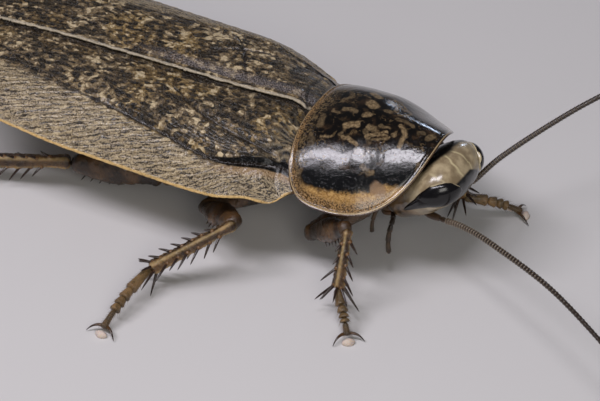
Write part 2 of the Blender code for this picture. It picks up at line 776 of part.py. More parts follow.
def make_spine(root, direction, length, half_width, finish):
    """A four-sided thorn that tapers to a point."""
    along = unit(direction)
    across = unit(np.cross(along, (0.31, 0.52, 0.79)))
    up = np.cross(along, across)
    corners = [root + half_width * (across * a + up * b) for a, b in ((1, 0), (0, 1), (-1, 0), (0, -1))]
    tip = root + along * length
    faces = [(0, 1, 4), (1, 2, 4), (2, 3, 4), (3, 0, 4), (3, 2, 1, 0)]
    return add_mesh("spine", [*corners, tip], faces, finish)


def leg_spines(start, end, half_thin, half_deep, plane, count, draw, finish):
    """Thorns in rows down a tibia, longest near its end, and a spray of spurs round the end."""
    along = unit(end - start)
    across = unit(plane - np.dot(plane, along) * along)
    up = np.cross(along, across)
    length = np.linalg.norm(end - start)
    spines = []
    for index in range(count):
        if index < count - SPUR_COUNT:
            share = SPINE_FIRST_SHARE + SPINE_SPAN * index / (count - SPUR_COUNT)
            turn = (0.5 + index % 3) * SPINE_ROW_TURN + draw.uniform(-0.25, 0.25)
        else:
            share = SPUR_SHARE
            turn = index * math.pi * 2 / SPUR_COUNT + 0.6
        outward = across * math.cos(turn) + up * math.sin(turn)
        surface = across * half_thin * math.cos(turn) + up * half_deep * math.sin(turn)
        root = start + along * length * share + surface * 0.35
        reach = SPINE_LENGTH * (0.8 + 0.3 * share + draw.uniform(-0.08, 0.08))
        spines.append(make_spine(root, outward + along * SPINE_LEAN, reach, SPINE_HALF_WIDTH, finish))
    return spines


def make_claw(root, heading, aside, finish):
    """A hooked claw that bends down at its tip."""
    lift = np.array([0.0, 0.0, 1.0])
    elbow = root + aside * 0.5 + heading * 0.35 + lift * 0.14
    tip = root + aside * 0.72 + heading * 0.62 - lift * 0.32
    shares = np.linspace(0.0, 1.0, len(CLAW_HALF_WIDTHS))
    path = [bezier((root, elbow, tip), share) for share in shares]
    return add_loft("claw", sweep_rings(path, CLAW_HALF_WIDTHS, CLAW_HALF_WIDTHS, lift, 6), finish)


def make_pad(centre, heading, aside, finish):
    """The soft pad between the claws, with the flat that the foot stands on."""
    rings = []
    for height, grow in PAD_SLICES:
        ring = []
        for corner in range(12):
            angle = 2.0 * math.pi * corner / 12
            ahead = heading * PAD_HALF_LENGTH * grow * math.cos(angle)
            sideways = aside * PAD_HALF_WIDTH * grow * math.sin(angle)
            ring.append(centre + ahead + sideways + np.array([0.0, 0.0, height]))
        rings.append(np.array(ring))
    return add_loft("pad", rings, finish)


def make_foot(name, start, toe, before, plane, finish):
    """The tarsus: five joints, each flaring to its end, then two hooked claws round a toe pad."""
    heading = unit(np.array([toe[0] - start[0], toe[1] - start[1], 0.0]))
    aside = np.array([-heading[1], heading[0], 0.0])
    wrist = toe + np.array([0.0, 0.0, WRIST_HEIGHT]) - heading * WRIST_BACK
    reach = wrist - start
    control = start + reach * 0.6 + np.array([0.0, 0.0, 0.12 * np.linalg.norm(reach)])
    begin, first_normal = joint_cut(start, before, control, True)
    path, half = [], []
    done = 0.0
    for part in TARSUS_SHARES:
        for place, width in TARSUS_GIRTHS:
            path.append(bezier((begin, control, wrist), min(1.0, done + part * place)))
            half.append(width)
        done += part
    path[0] = begin
    half[-1] = TARSUS_END_HALF_WIDTH
    foot = add_loft(name, sweep_rings(path, half, half, plane, TARSUS_SIDES, first_normal), finish)
    claw_root = wrist - heading * WRIST_BACK
    pieces = [make_claw(claw_root + aside * turn * 0.1, heading, aside * turn, finish) for turn in (-1, 1)]
    pieces.append(make_pad(toe, heading, aside, finish))
    return fuse(foot, pieces)


def make_leg(leg, joints, finish, draw, trunk):
    """A leg in four nodes: coxa, femur, tibia and tarsus."""
    hip, socket, knee, ankle, toe = [np.array(joint) for joint in joints]
    side = math.copysign(1.0, hip[1])
    pair = leg.split("_")[0]
    stout = STOUTNESS[pair]
    plane = unit(np.cross(knee - socket, ankle - knee))

    broad_face = np.array([0.0, side * 0.45, -0.9])
    into_body = np.array([0.0, side * 0.25, -1.0])
    beyond = 2 * socket - hip
    widths = COXA_THINS, COXA_DEEPS
    course = hip, hip, socket, beyond
    coxa = make_limb_piece(f"{leg}_coxa", *course, *widths, broad_face, finish, into_body)
    keep_clear(coxa, *trunk)

    thins = [stout * width for width in FEMUR_THINS]
    deeps = [stout * width for width in FEMUR_DEEPS]
    course = hip, socket, knee, ankle
    femur = make_limb_piece(f"{leg}_femur", *course, thins, deeps, plane, finish, knee - socket)
    keep_clear(femur, coxa)

    thin, deep = TIBIA_THIN * stout, TIBIA_DEEP * stout
    thins, deeps = (thin, thin, thin * TIBIA_END_SWELL), (deep, deep, deep * TIBIA_END_SWELL)
    after = (toe + ankle) / 2 + np.array([0.0, 0.0, 0.2])
    tibia = make_limb_piece(f"{leg}_tibia", socket, knee, ankle, after, thins, deeps, plane, finish)
    fuse(tibia, leg_spines(knee, ankle, thin, deep, plane, TIBIA_SPINES[pair], draw, finish))
    foot = make_foot(f"{leg}_tarsus", ankle, toe, knee, plane, finish)
    keep_clear(tibia, foot)
    return coxa, femur, tibia, foot


def stand_on_centre():
    """Moves every part so that the whole stands on the middle of its own box."""
    bpy.context.view_layer.update()
    parts = [obj for obj in bpy.context.scene.objects if obj.type == "MESH"]
    places = np.vstack([np.array([vert.co for vert in obj.data.vertices]) for obj in parts])
    middle = (places.max(0) + places.min(0)) / 2.0
    stand = bpy.data.objects.new("cockroach", None)
    bpy.context.scene.collection.objects.link(stand)
    stand.location = (-middle[0], -middle[1], 0.0)
    for obj in parts:
        obj.parent = stand


def main():
    clear_scene()
    draw = np.random.default_rng(11)
    dark = material("dark shield", (0.05, 0.03, 0.015), 0.3)
    ash = material("ash brown wing", (0.22, 0.16, 0.09), 0.45)
    amber = material("amber skin", (0.28, 0.13, 0.04), 0.4)
    black = material("black eye", (0.004, 0.004, 0.005), 0.12)
    olive = material("olive head", (0.2, 0.15, 0.06), 0.3)

    shield = make_shield(dark)
    make_wing("wing_left", 1, ash)
    make_wing("wing_right", -1, ash)

    head = make_head(olive)
    for side, side_name in ((-1, "right"), (1, "left")):
        socket = make_eye("socket", side, black, GAP)
        apply_boolean(head, [socket], "DIFFERENCE")
        make_eye(f"eye_{side_name}", side, black)
        make_feeler(side_name, FEELERS[side_name], head, amber)
    keep_clear(head, shield)
    mouth = [make_labrum(amber), make_palp("palp_right", -1, amber), make_palp("palp_left", 1, amber)]

    prothorax = make_thorax("prothorax", *PROTHORAX, amber)
    mesothorax = make_thorax("mesothorax", *MESOTHORAX, amber)
    metathorax = make_thorax("metathorax", *METATHORAX, amber)
    abdomen = make_abdomen(amber)
    keep_clear(prothorax, shield, head)
    for side, side_name in ((-1, "right"), (1, "left")):
        keep_clear(abdomen, make_cercus(f"cercus_{side_name}", side, amber))
    trunk = {
        "fore": [prothorax, head, *mouth],
        "mid": [mesothorax, metathorax],
        "hind": [metathorax, abdomen],
    }
    for leg, joints in LEGS.items():
        make_leg(leg, joints, amber, draw, trunk[leg.split("_")[0]])
    stand_on_centre()


main()
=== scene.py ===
"""The looks of a life-size speckled cockroach: its shells, veins, spines and hairs, and their finishes.

Sizes and places are millimetres in the animal's own frame. X points forwards, Y to its left and
Z up; x = 0 is the hind edge of its neck shield (pronotum), y = 0 its middle and z = 0 the floor.
Each piece's object stands at that frame's origin, so a finish reads the same places.
"""

import math

import bmesh
import bpy
import numpy as np
from mathutils import Matrix, Vector


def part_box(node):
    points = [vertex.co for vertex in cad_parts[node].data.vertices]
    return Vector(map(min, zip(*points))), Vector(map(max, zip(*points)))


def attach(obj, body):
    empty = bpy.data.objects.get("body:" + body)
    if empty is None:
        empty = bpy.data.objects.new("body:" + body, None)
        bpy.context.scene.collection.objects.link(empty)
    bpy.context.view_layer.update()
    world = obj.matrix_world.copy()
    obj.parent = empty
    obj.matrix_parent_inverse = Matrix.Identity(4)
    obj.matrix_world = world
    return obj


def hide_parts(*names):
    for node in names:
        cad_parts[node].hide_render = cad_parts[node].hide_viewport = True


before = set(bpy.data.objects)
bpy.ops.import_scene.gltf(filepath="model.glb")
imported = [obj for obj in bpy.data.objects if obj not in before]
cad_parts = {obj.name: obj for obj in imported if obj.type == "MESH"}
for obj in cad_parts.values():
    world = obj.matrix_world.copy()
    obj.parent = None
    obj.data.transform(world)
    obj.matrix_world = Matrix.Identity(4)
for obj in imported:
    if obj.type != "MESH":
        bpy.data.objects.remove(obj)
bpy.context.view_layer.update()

MM = 0.001
UP = np.array([0.0, 0.0, 1.0])
SIDES = {"right": -1, "left": 1}
# A direction that no spine, hair or seat runs along, from which their rings are turned.
SKEW = (0.31, 0.52, 0.79)
draw = np.random.default_rng(5)

# The neck shield (pronotum), as in the solids.
SHIELD_WIDEST_X = 2.53
SHIELD_FORE_REACH = 3.83
SHIELD_HIND_REACH = 2.7
SHIELD_HALF_WIDTH = 4.5
SHIELD_FRONT_HEIGHT = 7.08
SHIELD_SIDE_HEIGHT = 4.7
SHIELD_HIND_HEIGHT = 7.03
SHIELD_CROWN_HEIGHT = 7.65
SHIELD_FRONT_POWER = 1.98
SHIELD_HIND_POWER = 3.5
SHIELD_EDGE = 0.05
SHIELD_ROLL = (0.2, 0.4, 0.6, 0.8)
SHIELD_RINGS = 120
SHIELD_UNDER_RINGS = 24
SHIELD_SPOKES = 320

# The fore wings (tegmina), as in the solids. RUN is the way from a wing's root to its tip, and TUCK the
# share of it by which the wing goes on under the shield. CORNER is how its near corner is rounded.
WING_RUN = 20.5
WING_TUCK = 0.045
WING_END = 0.996
WING_HALF_WIDTH = 5.7
WING_BACK_HEIGHT = 7.15
WING_BACK_SLOPE = 0.023
WING_TIP_BEND_X = -13.0
WING_TIP_BEND = 0.012
WING_SIDE_DEPTH = 2.5
WING_SIDE_SLOPE = 0.045
WING_SIDE_POWER = 3.0
WING_ROOT_SOFTNESS = 1.2
WING_ROOT_DIP = 0.22
WING_SHOULDERS = {1: (0.76, 0.3), -1: (0.88, 0.14)}
WING_LAP = 0.3
WING_THICKNESS = 0.1
WING_ROWS = 440
WING_COLUMNS = 160
CORNER_OUT = 1.9
CORNER_BACK = 1.3
CLAVUS_WIDTH = 3.2
CLAVUS_RUN = 7.5

# How high or deep the wing's lines are. GROOVE, by the way along, is how far out the groove lies. CREASES
# run on the left wing between two places, each given by the way along it and out.
VEIN_RELIEF = 0.03
FURROW_DEPTH = 0.13
GROOVE_DEPTH = 0.12
GROOVE_CREST = 0.06
FAN_HEIGHT = 0.055
CREASE_DEPTH = 0.05
RIM_HEIGHT = 0.045
GROOVE = (
    (0.0, 3.55),
    (1.2, 3.9),
    (2.8, 4.33),
    (4.1, 4.3),
    (5.9, 4.02),
    (8.0, 3.72),
    (11.0, 3.4),
    (20.5, 2.2),
)
CREASES = (((0.15, -0.2), (1.15, 2.9)), ((4.1, 0.7), (6.1, 3.4)))

# Behind the shield the body leans.
LEAN = math.radians(4.2)
LEAN_SHIFT = -0.1
LEAN_HEIGHT = 5.0
LEAN_START_X = 1.0
LEAN_FULL_X = -5.0

# The head, its eyes and its feelers.
CROWN = (7.55, 0.0, 6.05)
HEAD_LEAN = math.radians(43.0)
HEAD_LENGTH = 4.7
HEAD_HALF_WIDTH = 2.12
HEAD_HALF_DEPTH = 1.2
HEAD_TOP = -0.12
HEAD_WIDEST = 1.5
HEAD_SIDE_POWER = 0.94
HEAD_FACE_POWER = 0.9
HEAD_RINGS = 170
HEAD_SPOKES = 200
EYE_BULGE = 0.34
EYE_ROWS = 90
EYE_COLUMNS = 60
SCAPE_END = 0.055
PEDICEL_END = 0.072
WHIP_ROOT_WIDTH = 0.27
WHIP_TIP_WIDTH = 0.16
WHIP_ROWS = 1500
WHIP_HAIRS_FROM = 160
RING_FIRST = 0.16
RING_LAST = 0.3
FEELERS = {
    "right": (
        (6.1, -1.0, 3.4),
        (7.1, -1.35, 3.65),
        (8.6, -1.95, 4.1),
        (10.65, -3.0, 4.5),
        (14.5, -5.1, 4.9),
        (18.7, -7.7, 4.65),
        (22.2, -9.9, 4.1),
    ),
    "left": (
        (6.1, 1.0, 3.4),
        (7.1, 1.5, 3.75),
        (8.1, 2.8, 4.8),
        (9.8, 4.7, 6.1),
        (11.6, 6.6, 7.2),
        (15.0, 10.5, 8.6),
        (17.5, 13.5, 9.0),
    ),
}

# The thorax by the way back from the frame's origin: its half width, top and bottom.
THORAX = (
    (-5.0, 1.1, 5.7, 4.6),
    (-4.2, 2.0, 6.3, 3.9),
    (-2.5, 2.6, 6.4, 3.55),
    (-1.0, 2.5, 6.1, 3.5),
    (0.0, 3.2, 5.2, 3.1),
    (2.6, 3.5, 5.05, 2.95),
    (6.4, 3.85, 4.9, 2.6),
)

# The abdomen, and how each of its rings flares from its front to its hind edge.
ABDOMEN_FRONT_X = -6.2
ABDOMEN_TIP_X = -21.0
ABDOMEN_HALF_WIDTH = 4.45
ABDOMEN_RINGS = 8
RING_FLARE = ((0.0, 0.93), (0.15, 0.955), (0.4, 0.985), (0.7, 1.0), (0.9, 1.01), (0.97, 1.0), (0.995, 0.96))

# Each leg's joints: hip on the body, trochanter, knee, ankle and toe pad.
LEGS = {
    "fore_right": (
        (3.3, -1.3, 3.3), (0.9, -2.8, 1.6), (3.8, -4.5, 4.1),
        (4.0, -5.9, 1.6), (5.4, -7.5, 0.0),
    ),
    "fore_left": (
        (3.3, 1.3, 3.3), (1.9, 2.6, 1.7), (4.7, 3.7, 3.8),
        (6.0, 3.3, 1.3), (8.6, 4.8, 0.0),
    ),
    "mid_right": (
        (-1.2, -1.5, 2.9), (-4.4, -3.4, 1.65), (-1.4, -5.8, 3.4),
        (-4.7, -8.2, 1.15), (-5.0, -12.3, 0.0),
    ),
    "mid_left": (
        (-1.2, 1.5, 2.9), (-4.4, 3.3, 1.65), (-2.0, 5.6, 3.4),
        (-4.8, 7.7, 1.25), (-7.2, 10.6, 0.0),
    ),
    "hind_right": (
        (-4.6, -1.4, 2.7), (-7.4, -2.3, 1.45), (-11.7, -3.5, 1.75),
        (-16.9, -5.1, 1.1), (-20.2, -6.9, 0.0),
    ),
    "hind_left": (
        (-4.6, 1.4, 2.7), (-7.5, 2.8, 1.5), (-11.2, 5.4, 2.4),
        (-16.4, 8.0, 1.15), (-19.6, 10.3, 0.0),
    ),
}
STOUTNESS = {"fore": 0.88, "mid": 1.0, "hind": 1.08}
COXA_GIRTHS = ((0.6, 0.6, 0.5, 0.34), (0.85, 1.0, 0.8, 0.4))
TROCHANTER_GIRTHS = ((0.3, 0.36, 0.34), (0.34, 0.4, 0.38))
FEMUR_THINS = (0.28, 0.36, 0.42, 0.44, 0.38, 0.36)
FEMUR_DEEPS = (0.32, 0.44, 0.62, 0.64, 0.5, 0.42)
TIBIA_THIN = 0.26
TIBIA_DEEP = 0.3
TIBIA_SWELL = (1.15, 0.84, 1.0, 1.06, 1.1, 1.3)
TIBIA_SPINES = {"fore": 18, "mid": 25, "hind": 28}
CROWN_SPINES = 8
FEMUR_SPINES = {"fore": 6, "mid": 5, "hind": 5}
THORN_BEND = 0.1
TIBIA_THORN = 0.07
FEMUR_THORN = 0.045

# A spine's seat: the way along it and the seat's girth, both in the spine's radius, and how dark it is.
THORN_SEAT = ((-1.0, 1.5, 0.0), (-0.3, 1.65, 0.0), (0.4, 1.5, 0.1), (0.9, 1.25, 0.3), (1.15, 0.9, 0.7))

# The foot: the share of its length and the girth, at the root and by how much it widens, of its joints.
TARSUS_SHARES = (0.36, 0.15, 0.11, 0.1, 0.28)
TARSUS_GIRTH = (0.19, 0.1)
LAST_TARSUS_GIRTH = (0.12, 0.06)
TOE_PAD_REACH = (0.21, 0.32)
TOE_PAD_SPOKES = 32
TOE_PAD_RINGS = (
    (0.0, 0.84),
    (0.02, 0.93),
    (0.07, 1.0),
    (0.13, 0.98),
    (0.19, 0.86),
    (0.25, 0.6),
    (0.29, 0.3),
)
WRIST_UP = 0.34
WRIST_BACK = 0.22
SOLE_LENGTH = 0.36
SOLE_RADIUS = 0.1
CLAW_RADIUS = 0.07

# Hairs: the gap between their rings, how many are in a ring, their length, radius and tilt to the tip.
WHIP_HAIRS = (0.2, 6, 0.08, 0.007, 1.2)
PALP_HAIRS = (0.12, 7, 0.12, 0.007, 0.9)
CERCUS_HAIRS = (0.16, 8, 0.38, 0.011, 0.5)
TARSUS_HAIRS = (0.11, 9, 0.24, 0.009, 1.3)
TIBIA_HAIRS = (0.16, 9, 0.24, 0.009, 1.2)
HAIR_CLEARANCE = 0.03

# Lights: the way to each from the shield, the way of its long side, its distance, length and width, its
# power in watts and its colour.
LIGHTS = (
    ("left window", (-0.34, -0.45, 0.83), (1.0, 0.14, 0.0), 165.0, 88.0, 26.0, 0.13, (0.96, 0.92, 1.0)),
    ("right window", (0.08, -0.35, 0.93), (1.0, 0.14, 0.0), 165.0, 40.0, 30.0, 0.075, (0.96, 0.93, 1.0)),
    ("back", (-0.14, 0.965, 0.22), (1.0, 0.2, 0.0), 200.0, 12.0, 16.0, 0.014, (0.66, 0.78, 1.0)),
    ("front", (0.5, -0.68, 0.54), (0.7, 0.7, 0.0), 220.0, 110.0, 90.0, 0.14, (1.0, 0.96, 0.9)),
)
LIGHTS_LOOK_AT = (0.0, 0.0, 6.0)
SKY = ((0.84, 0.87, 0.95, 1.0), 0.09)
FLOOR_HALF = 600.0

# The camera, found from the photograph: where it looks, from how far, and how large a millimetre shows.
CAMERA_AZIMUTH = math.radians(27.67)
CAMERA_ELEVATION = math.radians(36.87)
CAMERA_DISTANCE = 190.0
PIXELS_PER_MM = 21.33
LOOK_AT = (0.0, 0.0, 7.2)
LOOK_AT_PIXEL = (320.2, 100.2)
PHOTO_SIZE = (600, 401)
SENSOR = 36.0

# The animal's frame in the row's frame, read from the shield's solid.
shield_low, shield_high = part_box("pronotum")
SHIELD_MIDDLE_X = SHIELD_WIDEST_X + (SHIELD_FORE_REACH - SHIELD_HIND_REACH) / 2.0
ORIGIN = Vector(
    (
        (shield_low.x + shield_high.x) / 2.0 - SHIELD_MIDDLE_X * MM,
        (shield_low.y + shield_high.y) / 2.0,
        0.0,
    )
)


# Small tools for numbers and curves


def unit(vectors):
    """The vectors, each made one long."""
    vectors = np.asarray(vectors, float)
    return vectors / np.linalg.norm(vectors, axis=-1, keepdims=True)


def smooth_step(low, high, value):
    """0 below low and 1 above high, smooth between them."""
    share = np.clip((np.asarray(value, float) - low) / (high - low), 0.0, 1.0)
    return share * share * (3.0 - 2.0 * share)


def fade(low, high, value):
    """1 below low and 0 above high, smooth between them."""
    return 1.0 - smooth_step(low, high, value)


def signed_power(value, power):
    """The power of a value's size, with the value's sign."""
    return np.sign(value) * np.abs(value) ** power


def bell(value, width):
    """1 where value is 0, falling smoothly to nearly nothing at twice the width."""
    return np.exp(-((np.asarray(value) / width) ** 2))


def ring_angles(sides, first=0.5):
    """Even turns round a ring, from a share of a step past its start."""
    return 2.0 * math.pi * (np.arange(sides) + first) / sides


def way_along(path):
    """How far each point of a path lies from its start, along it."""
    steps = np.linalg.norm(np.diff(path, axis=0), axis=1)
    return np.concatenate([[0.0], np.cumsum(steps)])


def smooth_curve(at, knots):
    """A smooth line through a few (place, value) pairs."""
    xs, ys = np.array(knots, float).T
    slopes = np.gradient(ys, xs)
    at = np.clip(at, xs[0], xs[-1])
    left = np.clip(np.searchsorted(xs, at, side="right") - 1, 0, len(xs) - 2)
    width = xs[left + 1] - xs[left]
    t = (at - xs[left]) / width
    start = (2 * t**3 - 3 * t**2 + 1) * ys[left] + (t**3 - 2 * t**2 + t) * width * slopes[left]
    end = (3 * t**2 - 2 * t**3) * ys[left + 1] + (t**3 - t**2) * width * slopes[left + 1]
    return start + end


def spline(points, count):
    """Evenly spread points on a smooth line through the given ones."""
    points = np.asarray(points, float)
    padded = np.vstack([2 * points[0] - points[1], points, 2 * points[-1] - points[-2]])
    fine = []
    for index in range(len(points) - 1):
        a, b, c, d = padded[index : index + 4]
        for t in np.linspace(0.0, 1.0, 24, endpoint=index == len(points) - 2):
            square = (2 * a - 5 * b + 4 * c - d) * t**2
            cube = (3 * b - a - 3 * c + d) * t**3
            fine.append(0.5 * (2 * b + (c - a) * t + square + cube))
    fine = np.array(fine)
    run = way_along(fine)
    wanted = np.linspace(0.0, run[-1], count)
    return np.stack([np.interp(wanted, run, fine[:, axis]) for axis in range(3)], axis=1)


def bezier(points, shares):
    """Points at shares of the way along a bend that the given points pull."""
    points = [np.asarray(p, float)[None, :] for p in points]
    shares = np.asarray(shares, float)[:, None]
    while len(points) > 1:
        points = [a + (b - a) * shares for a, b in zip(points[:-1], points[1:])]
    return points[0]


def ripples(places, size, count=24, seed=1):
    """A smooth uneven field from -1 to 1 over places, with waves of about the given size."""
    source = np.random.default_rng(seed)
    field = np.zeros(places.shape[:-1])
    for _ in range(count):
        way = unit(source.normal(size=places.shape[-1])) * source.uniform(0.6, 1.6) * 2.0 * math.pi / size
        field += np.sin(places @ way + source.uniform(0.0, 2.0 * math.pi))
    return field / math.sqrt(count)


def way_off(places, points):
    """How far each place of a plan lies from the line through the points."""
    points = np.asarray(points, float)
    nearest = np.full(places.shape[:-1], np.inf)
    for start, end in zip(points[:-1], points[1:]):
        along = end - start
        share = np.clip(((places - start) @ along) / (along @ along), 0.0, 1.0)
        nearest = np.minimum(nearest, np.linalg.norm(places - start - share[..., None] * along, axis=-1))
    return nearest


def painted(places, strokes, softness=0.3):
    """The strongest of the strokes (strength, half width, points) at each place of a plan."""
    field = np.zeros(places.shape[:-1])
    for strength, half_width, points in strokes:
        share = way_off(places, points) / half_width
        field = np.maximum(field, strength * fade(1.0 - softness, 1.0 + softness, share))
    return field


# Meshes from grids of points


def add_object(name, data):
    made = bpy.data.objects.new(name, data)
    bpy.context.scene.collection.objects.link(made)
    return made


class Shape:
    """Collects grids of points in millimetres and makes one mesh object of them.

    A mark is a number at each point, such as how far along a feeler it lies, that a finish reads."""

    def __init__(self):
        self.points = []
        self.faces = []
        self.marks = {}
        self.count = 0

    def grid(self, points, **marks):
        """Adds rows of points, each a closed ring, with the first and last filled."""
        rows, columns = points.shape[:2]
        index = self.count + np.arange(rows * columns).reshape(rows, columns)
        after = np.roll(index, -1, 1)
        self.faces += np.stack([index[:-1], after[:-1], after[1:], index[1:]], -1).reshape(-1, 4).tolist()
        self.faces += [index[0, ::-1].tolist(), index[-1].tolist()]
        self.points.append(points.reshape(-1, 3))
        for name, value in marks.items():
            value = np.asarray(value, float)
            if value.ndim == 1:
                value = value[:, None]
            value = np.broadcast_to(value, (rows, columns)).ravel()
            self.marks.setdefault(name, []).append((self.count, value))
        self.count += rows * columns

    def cone(self, root, way, length, radius, sides=3, rows=2):
        """A hair or sole that tapers to its tip."""
        shares = np.linspace(0.0, 1.0, rows)
        path = root + unit(way) * length * shares[:, None]
        radii = radius * (1.0 - 0.96 * shares**1.3)
        self.grid(tube(path, radii, radii, SKEW, sides))

    def build(self, name, finish, slot, *nodes):
        """Makes the object, which rides on the body and stands for the nodes."""
        mesh = bpy.data.meshes.new(name)
        mesh.from_pydata((np.vstack(self.points) * MM).tolist(), [], self.faces)
        for mark, parts in self.marks.items():
            values = np.zeros(self.count, np.float32)
            for start, value in parts:
                values[start : start + len(value)] = value
            mesh.attributes.new(mark, "FLOAT", "POINT").data.foreach_set("value", values)
        shape = bmesh.new()
        shape.from_mesh(mesh)
        bmesh.ops.recalc_face_normals(shape, faces=shape.faces)
        shape.to_mesh(mesh)
        shape.free()
        mesh.materials.append(finish)
        mesh.shade_smooth()
        made = add_object(name, mesh)
        made.location = ORIGIN
        bpy.context.view_layer.update()
        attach(made, "root")
        if nodes:
            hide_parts(*nodes)
        return made


def tube(path, half_thins, half_deeps, thin_axis, sides=16, power=1.0):
    """Oval rings along a path, as a grid of points."""
    path = np.asarray(path, float)
    along = unit(np.gradient(path, axis=0))
    thin_axis = np.asarray(thin_axis, float)
    across = unit(thin_axis - (along @ thin_axis)[:, None] * along)
    up = np.cross(along, across)
    angles = ring_angles(sides)
    wide = np.asarray(half_thins, float)[:, None, None] * signed_power(np.cos(angles), power)[None, :, None]
    high = np.asarray(half_deeps, float)[:, None, None] * signed_power(np.sin(angles), power)[None, :, None]
    return path[:, None] + across[:, None] * wide + up[:, None] * high


def rounded(shares, length, radius_start, radius_end):
    """How much of its girth a rod with round ends has, by the share of its length."""
    girth = 1.0
    for way_in, radius in ((shares, radius_start), (1.0 - shares, radius_end)):
        flat = 1.0 - np.clip(way_in * length / radius, 0.0, 1.0)
        girth = girth * np.sqrt(np.clip(1.0 - flat**2, 0.0, 1.0))
    return girth


def tapered(shares, reach):
    """How much of its girth a rod has that rounds off over the last reach of its shares."""
    return np.maximum(np.sqrt(np.clip((1.0 - shares) / reach, 0.0, 1.0)), 0.05)


# Node trees of the finishes


class Value:
    """What a node puts out. Sums and products of values, and with numbers, make further nodes."""

    def __init__(self, finish, socket):
        self.finish = finish
        self.socket = socket

    def __add__(self, other):
        return self.finish.math("ADD", self, other)

    def __sub__(self, other):
        return self.finish.math("SUBTRACT", self, other)

    def __rsub__(self, other):
        return self.finish.math("SUBTRACT", other, self)

    def __mul__(self, other):
        return self.finish.math("MULTIPLY", self, other)

    def __abs__(self):
        return self.finish.math("ABSOLUTE", self)

    def step(self, low, high):
        """0 below low and 1 above high, or the other way round, smooth between them."""
        node, result = self.finish.node("MapRange", "Result", Value=self)
        node.interpolation_type = "SMOOTHSTEP"
        node.inputs["From Min"].default_value = min(low, high)
        node.inputs["From Max"].default_value = max(low, high)
        node.inputs["To Min"].default_value = float(low > high)
        node.inputs["To Max"].default_value = float(low < high)
        return result


class Finish:
    """A material painted in layers, with short calls for the nodes that its layers use."""

    def __init__(self, name, roughness=0.4, specular=0.5, coat=0.0, coat_roughness=0.1):
        self.material = bpy.data.materials.new(name)
        self.material.use_nodes = True
        self.tree = self.material.node_tree
        self.shader = self.tree.nodes["Principled BSDF"]
        self.colour = None
        self.set("Roughness", roughness)
        self.set("Specular IOR Level", specular)
        self.set("Coat Weight", coat)
        self.set("Coat Roughness", coat_roughness)
        self.places = self.scaled(self.node("TexCoord", "Object")[1], 1.0 / MM)

    def put(self, socket, value):
        """Links a value to a node's input, or sets a colour or number there."""
        if isinstance(value, Value):
            self.tree.links.new(value.socket, socket)
        elif isinstance(value, tuple) and socket.type == "RGBA":
            socket.default_value = (*value, 1.0)
        else:
            socket.default_value = value

    def node(self, kind, output, **inputs):
        """A new node and one of its outputs, with inputs given by their names."""
        node = self.tree.nodes.new("ShaderNode" + kind)
        for name, value in inputs.items():
            self.put(node.inputs[name], value)
        return node, Value(self, node.outputs[output])

    def math(self, operation, first, second=0.0):
        node, result = self.node("Math", 0)
        node.operation = operation
        self.put(node.inputs[0], first)
        self.put(node.inputs[1], second)
        return result

    def vector(self, operation, first, second):
        node, result = self.node("VectorMath", "Vector")
        node.operation = operation
        self.put(node.inputs[0], first)
        self.put(node.inputs[1], second)
        return result

    def scaled(self, places, scale):
        node, result = self.node("VectorMath", "Vector")
        node.operation = "SCALE"
        self.put(node.inputs[0], places)
        self.put(node.inputs["Scale"], scale)
        return result

    def noise(self, places, scale, detail=2.0, roughness=0.5, output="Fac"):
        """Clouds, in scale waves to a millimetre."""
        inputs = {"Vector": places, "Scale": scale, "Detail": detail, "Roughness": roughness}
        return self.node("TexNoise", output, **inputs)[1]

    def cells(self, places, scale, feature="F1", output="Distance"):
        """Cells of chance shapes, in scale cells to a millimetre."""
        node, result = self.node("TexVoronoi", output, Vector=places, Scale=scale)
        node.feature = feature
        return result

    def mark(self, name):
        """A number that the mesh carries at each of its points."""
        node, result = self.node("Attribute", "Fac")
        node.attribute_name = name
        return result

    def join(self, x, y, z=0.0):
        return self.node("CombineXYZ", "Vector", X=x, Y=y, Z=z)[1]

    def part(self, vector, axis):
        return self.node("SeparateXYZ", axis, Vector=vector)[1]

    def mix(self, share, first, second):
        """The first colour, going over to the second by share."""
        node = self.tree.nodes.new("ShaderNodeMix")
        node.data_type = "RGBA"
        for index, value in ((0, share), (6, first), (7, second)):
            self.put(node.inputs[index], value)
        return Value(self, node.outputs[2])

    def warped(self, places, scale, reach):
        """Places moved about by a noise, for edges that aren't drawn with a ruler."""
        moved = self.vector("SUBTRACT", self.noise(places, scale, output="Color"), (0.5, 0.5, 0.5))
        return self.vector("ADD", places, self.scaled(moved, reach))

    def paint(self, colour, share=1.0):
        """Lays a colour over what is there, by share."""
        self.colour = colour if self.colour is None else self.mix(share, self.colour, colour)

    def bump(self, height, distance, strength=1.0):
        """Raises the surface by height times distance, on top of the bumps before."""
        bumped = self.node("Bump", "Normal", Height=height, Distance=distance * MM, Strength=strength)[0]
        normal = self.shader.inputs["Normal"]
        if normal.is_linked:
            self.tree.links.new(normal.links[0].from_socket, bumped.inputs["Normal"])
        self.tree.links.new(bumped.outputs["Normal"], normal)

    def set(self, name, value):
        """Gives the surface's own shader a value, by its input's name."""
        self.put(self.shader.inputs[name], value)

    def glow_through(self, weight, radius, scale):
        """Lets light through thin places, as far as scale in each of red, green and blue."""
        self.set("Subsurface Weight", weight)
        self.set("Subsurface Radius", radius)
        self.set("Subsurface Scale", scale * MM)

    def done(self):
        self.set("Base Color", self.colour)
        return self.material


# The shield


def shield_reach(turns):
    """How far the shield's edge lies from its crown at each turn."""
    front = np.cos(turns) > 0
    along = np.abs(np.cos(turns)) / np.where(front, SHIELD_FORE_REACH, SHIELD_HIND_REACH)
    aside = np.abs(np.sin(turns)) / SHIELD_HALF_WIDTH
    power = np.where(front, SHIELD_FRONT_POWER, SHIELD_HIND_POWER)
    return (along**power + aside**power) ** (-1.0 / power)


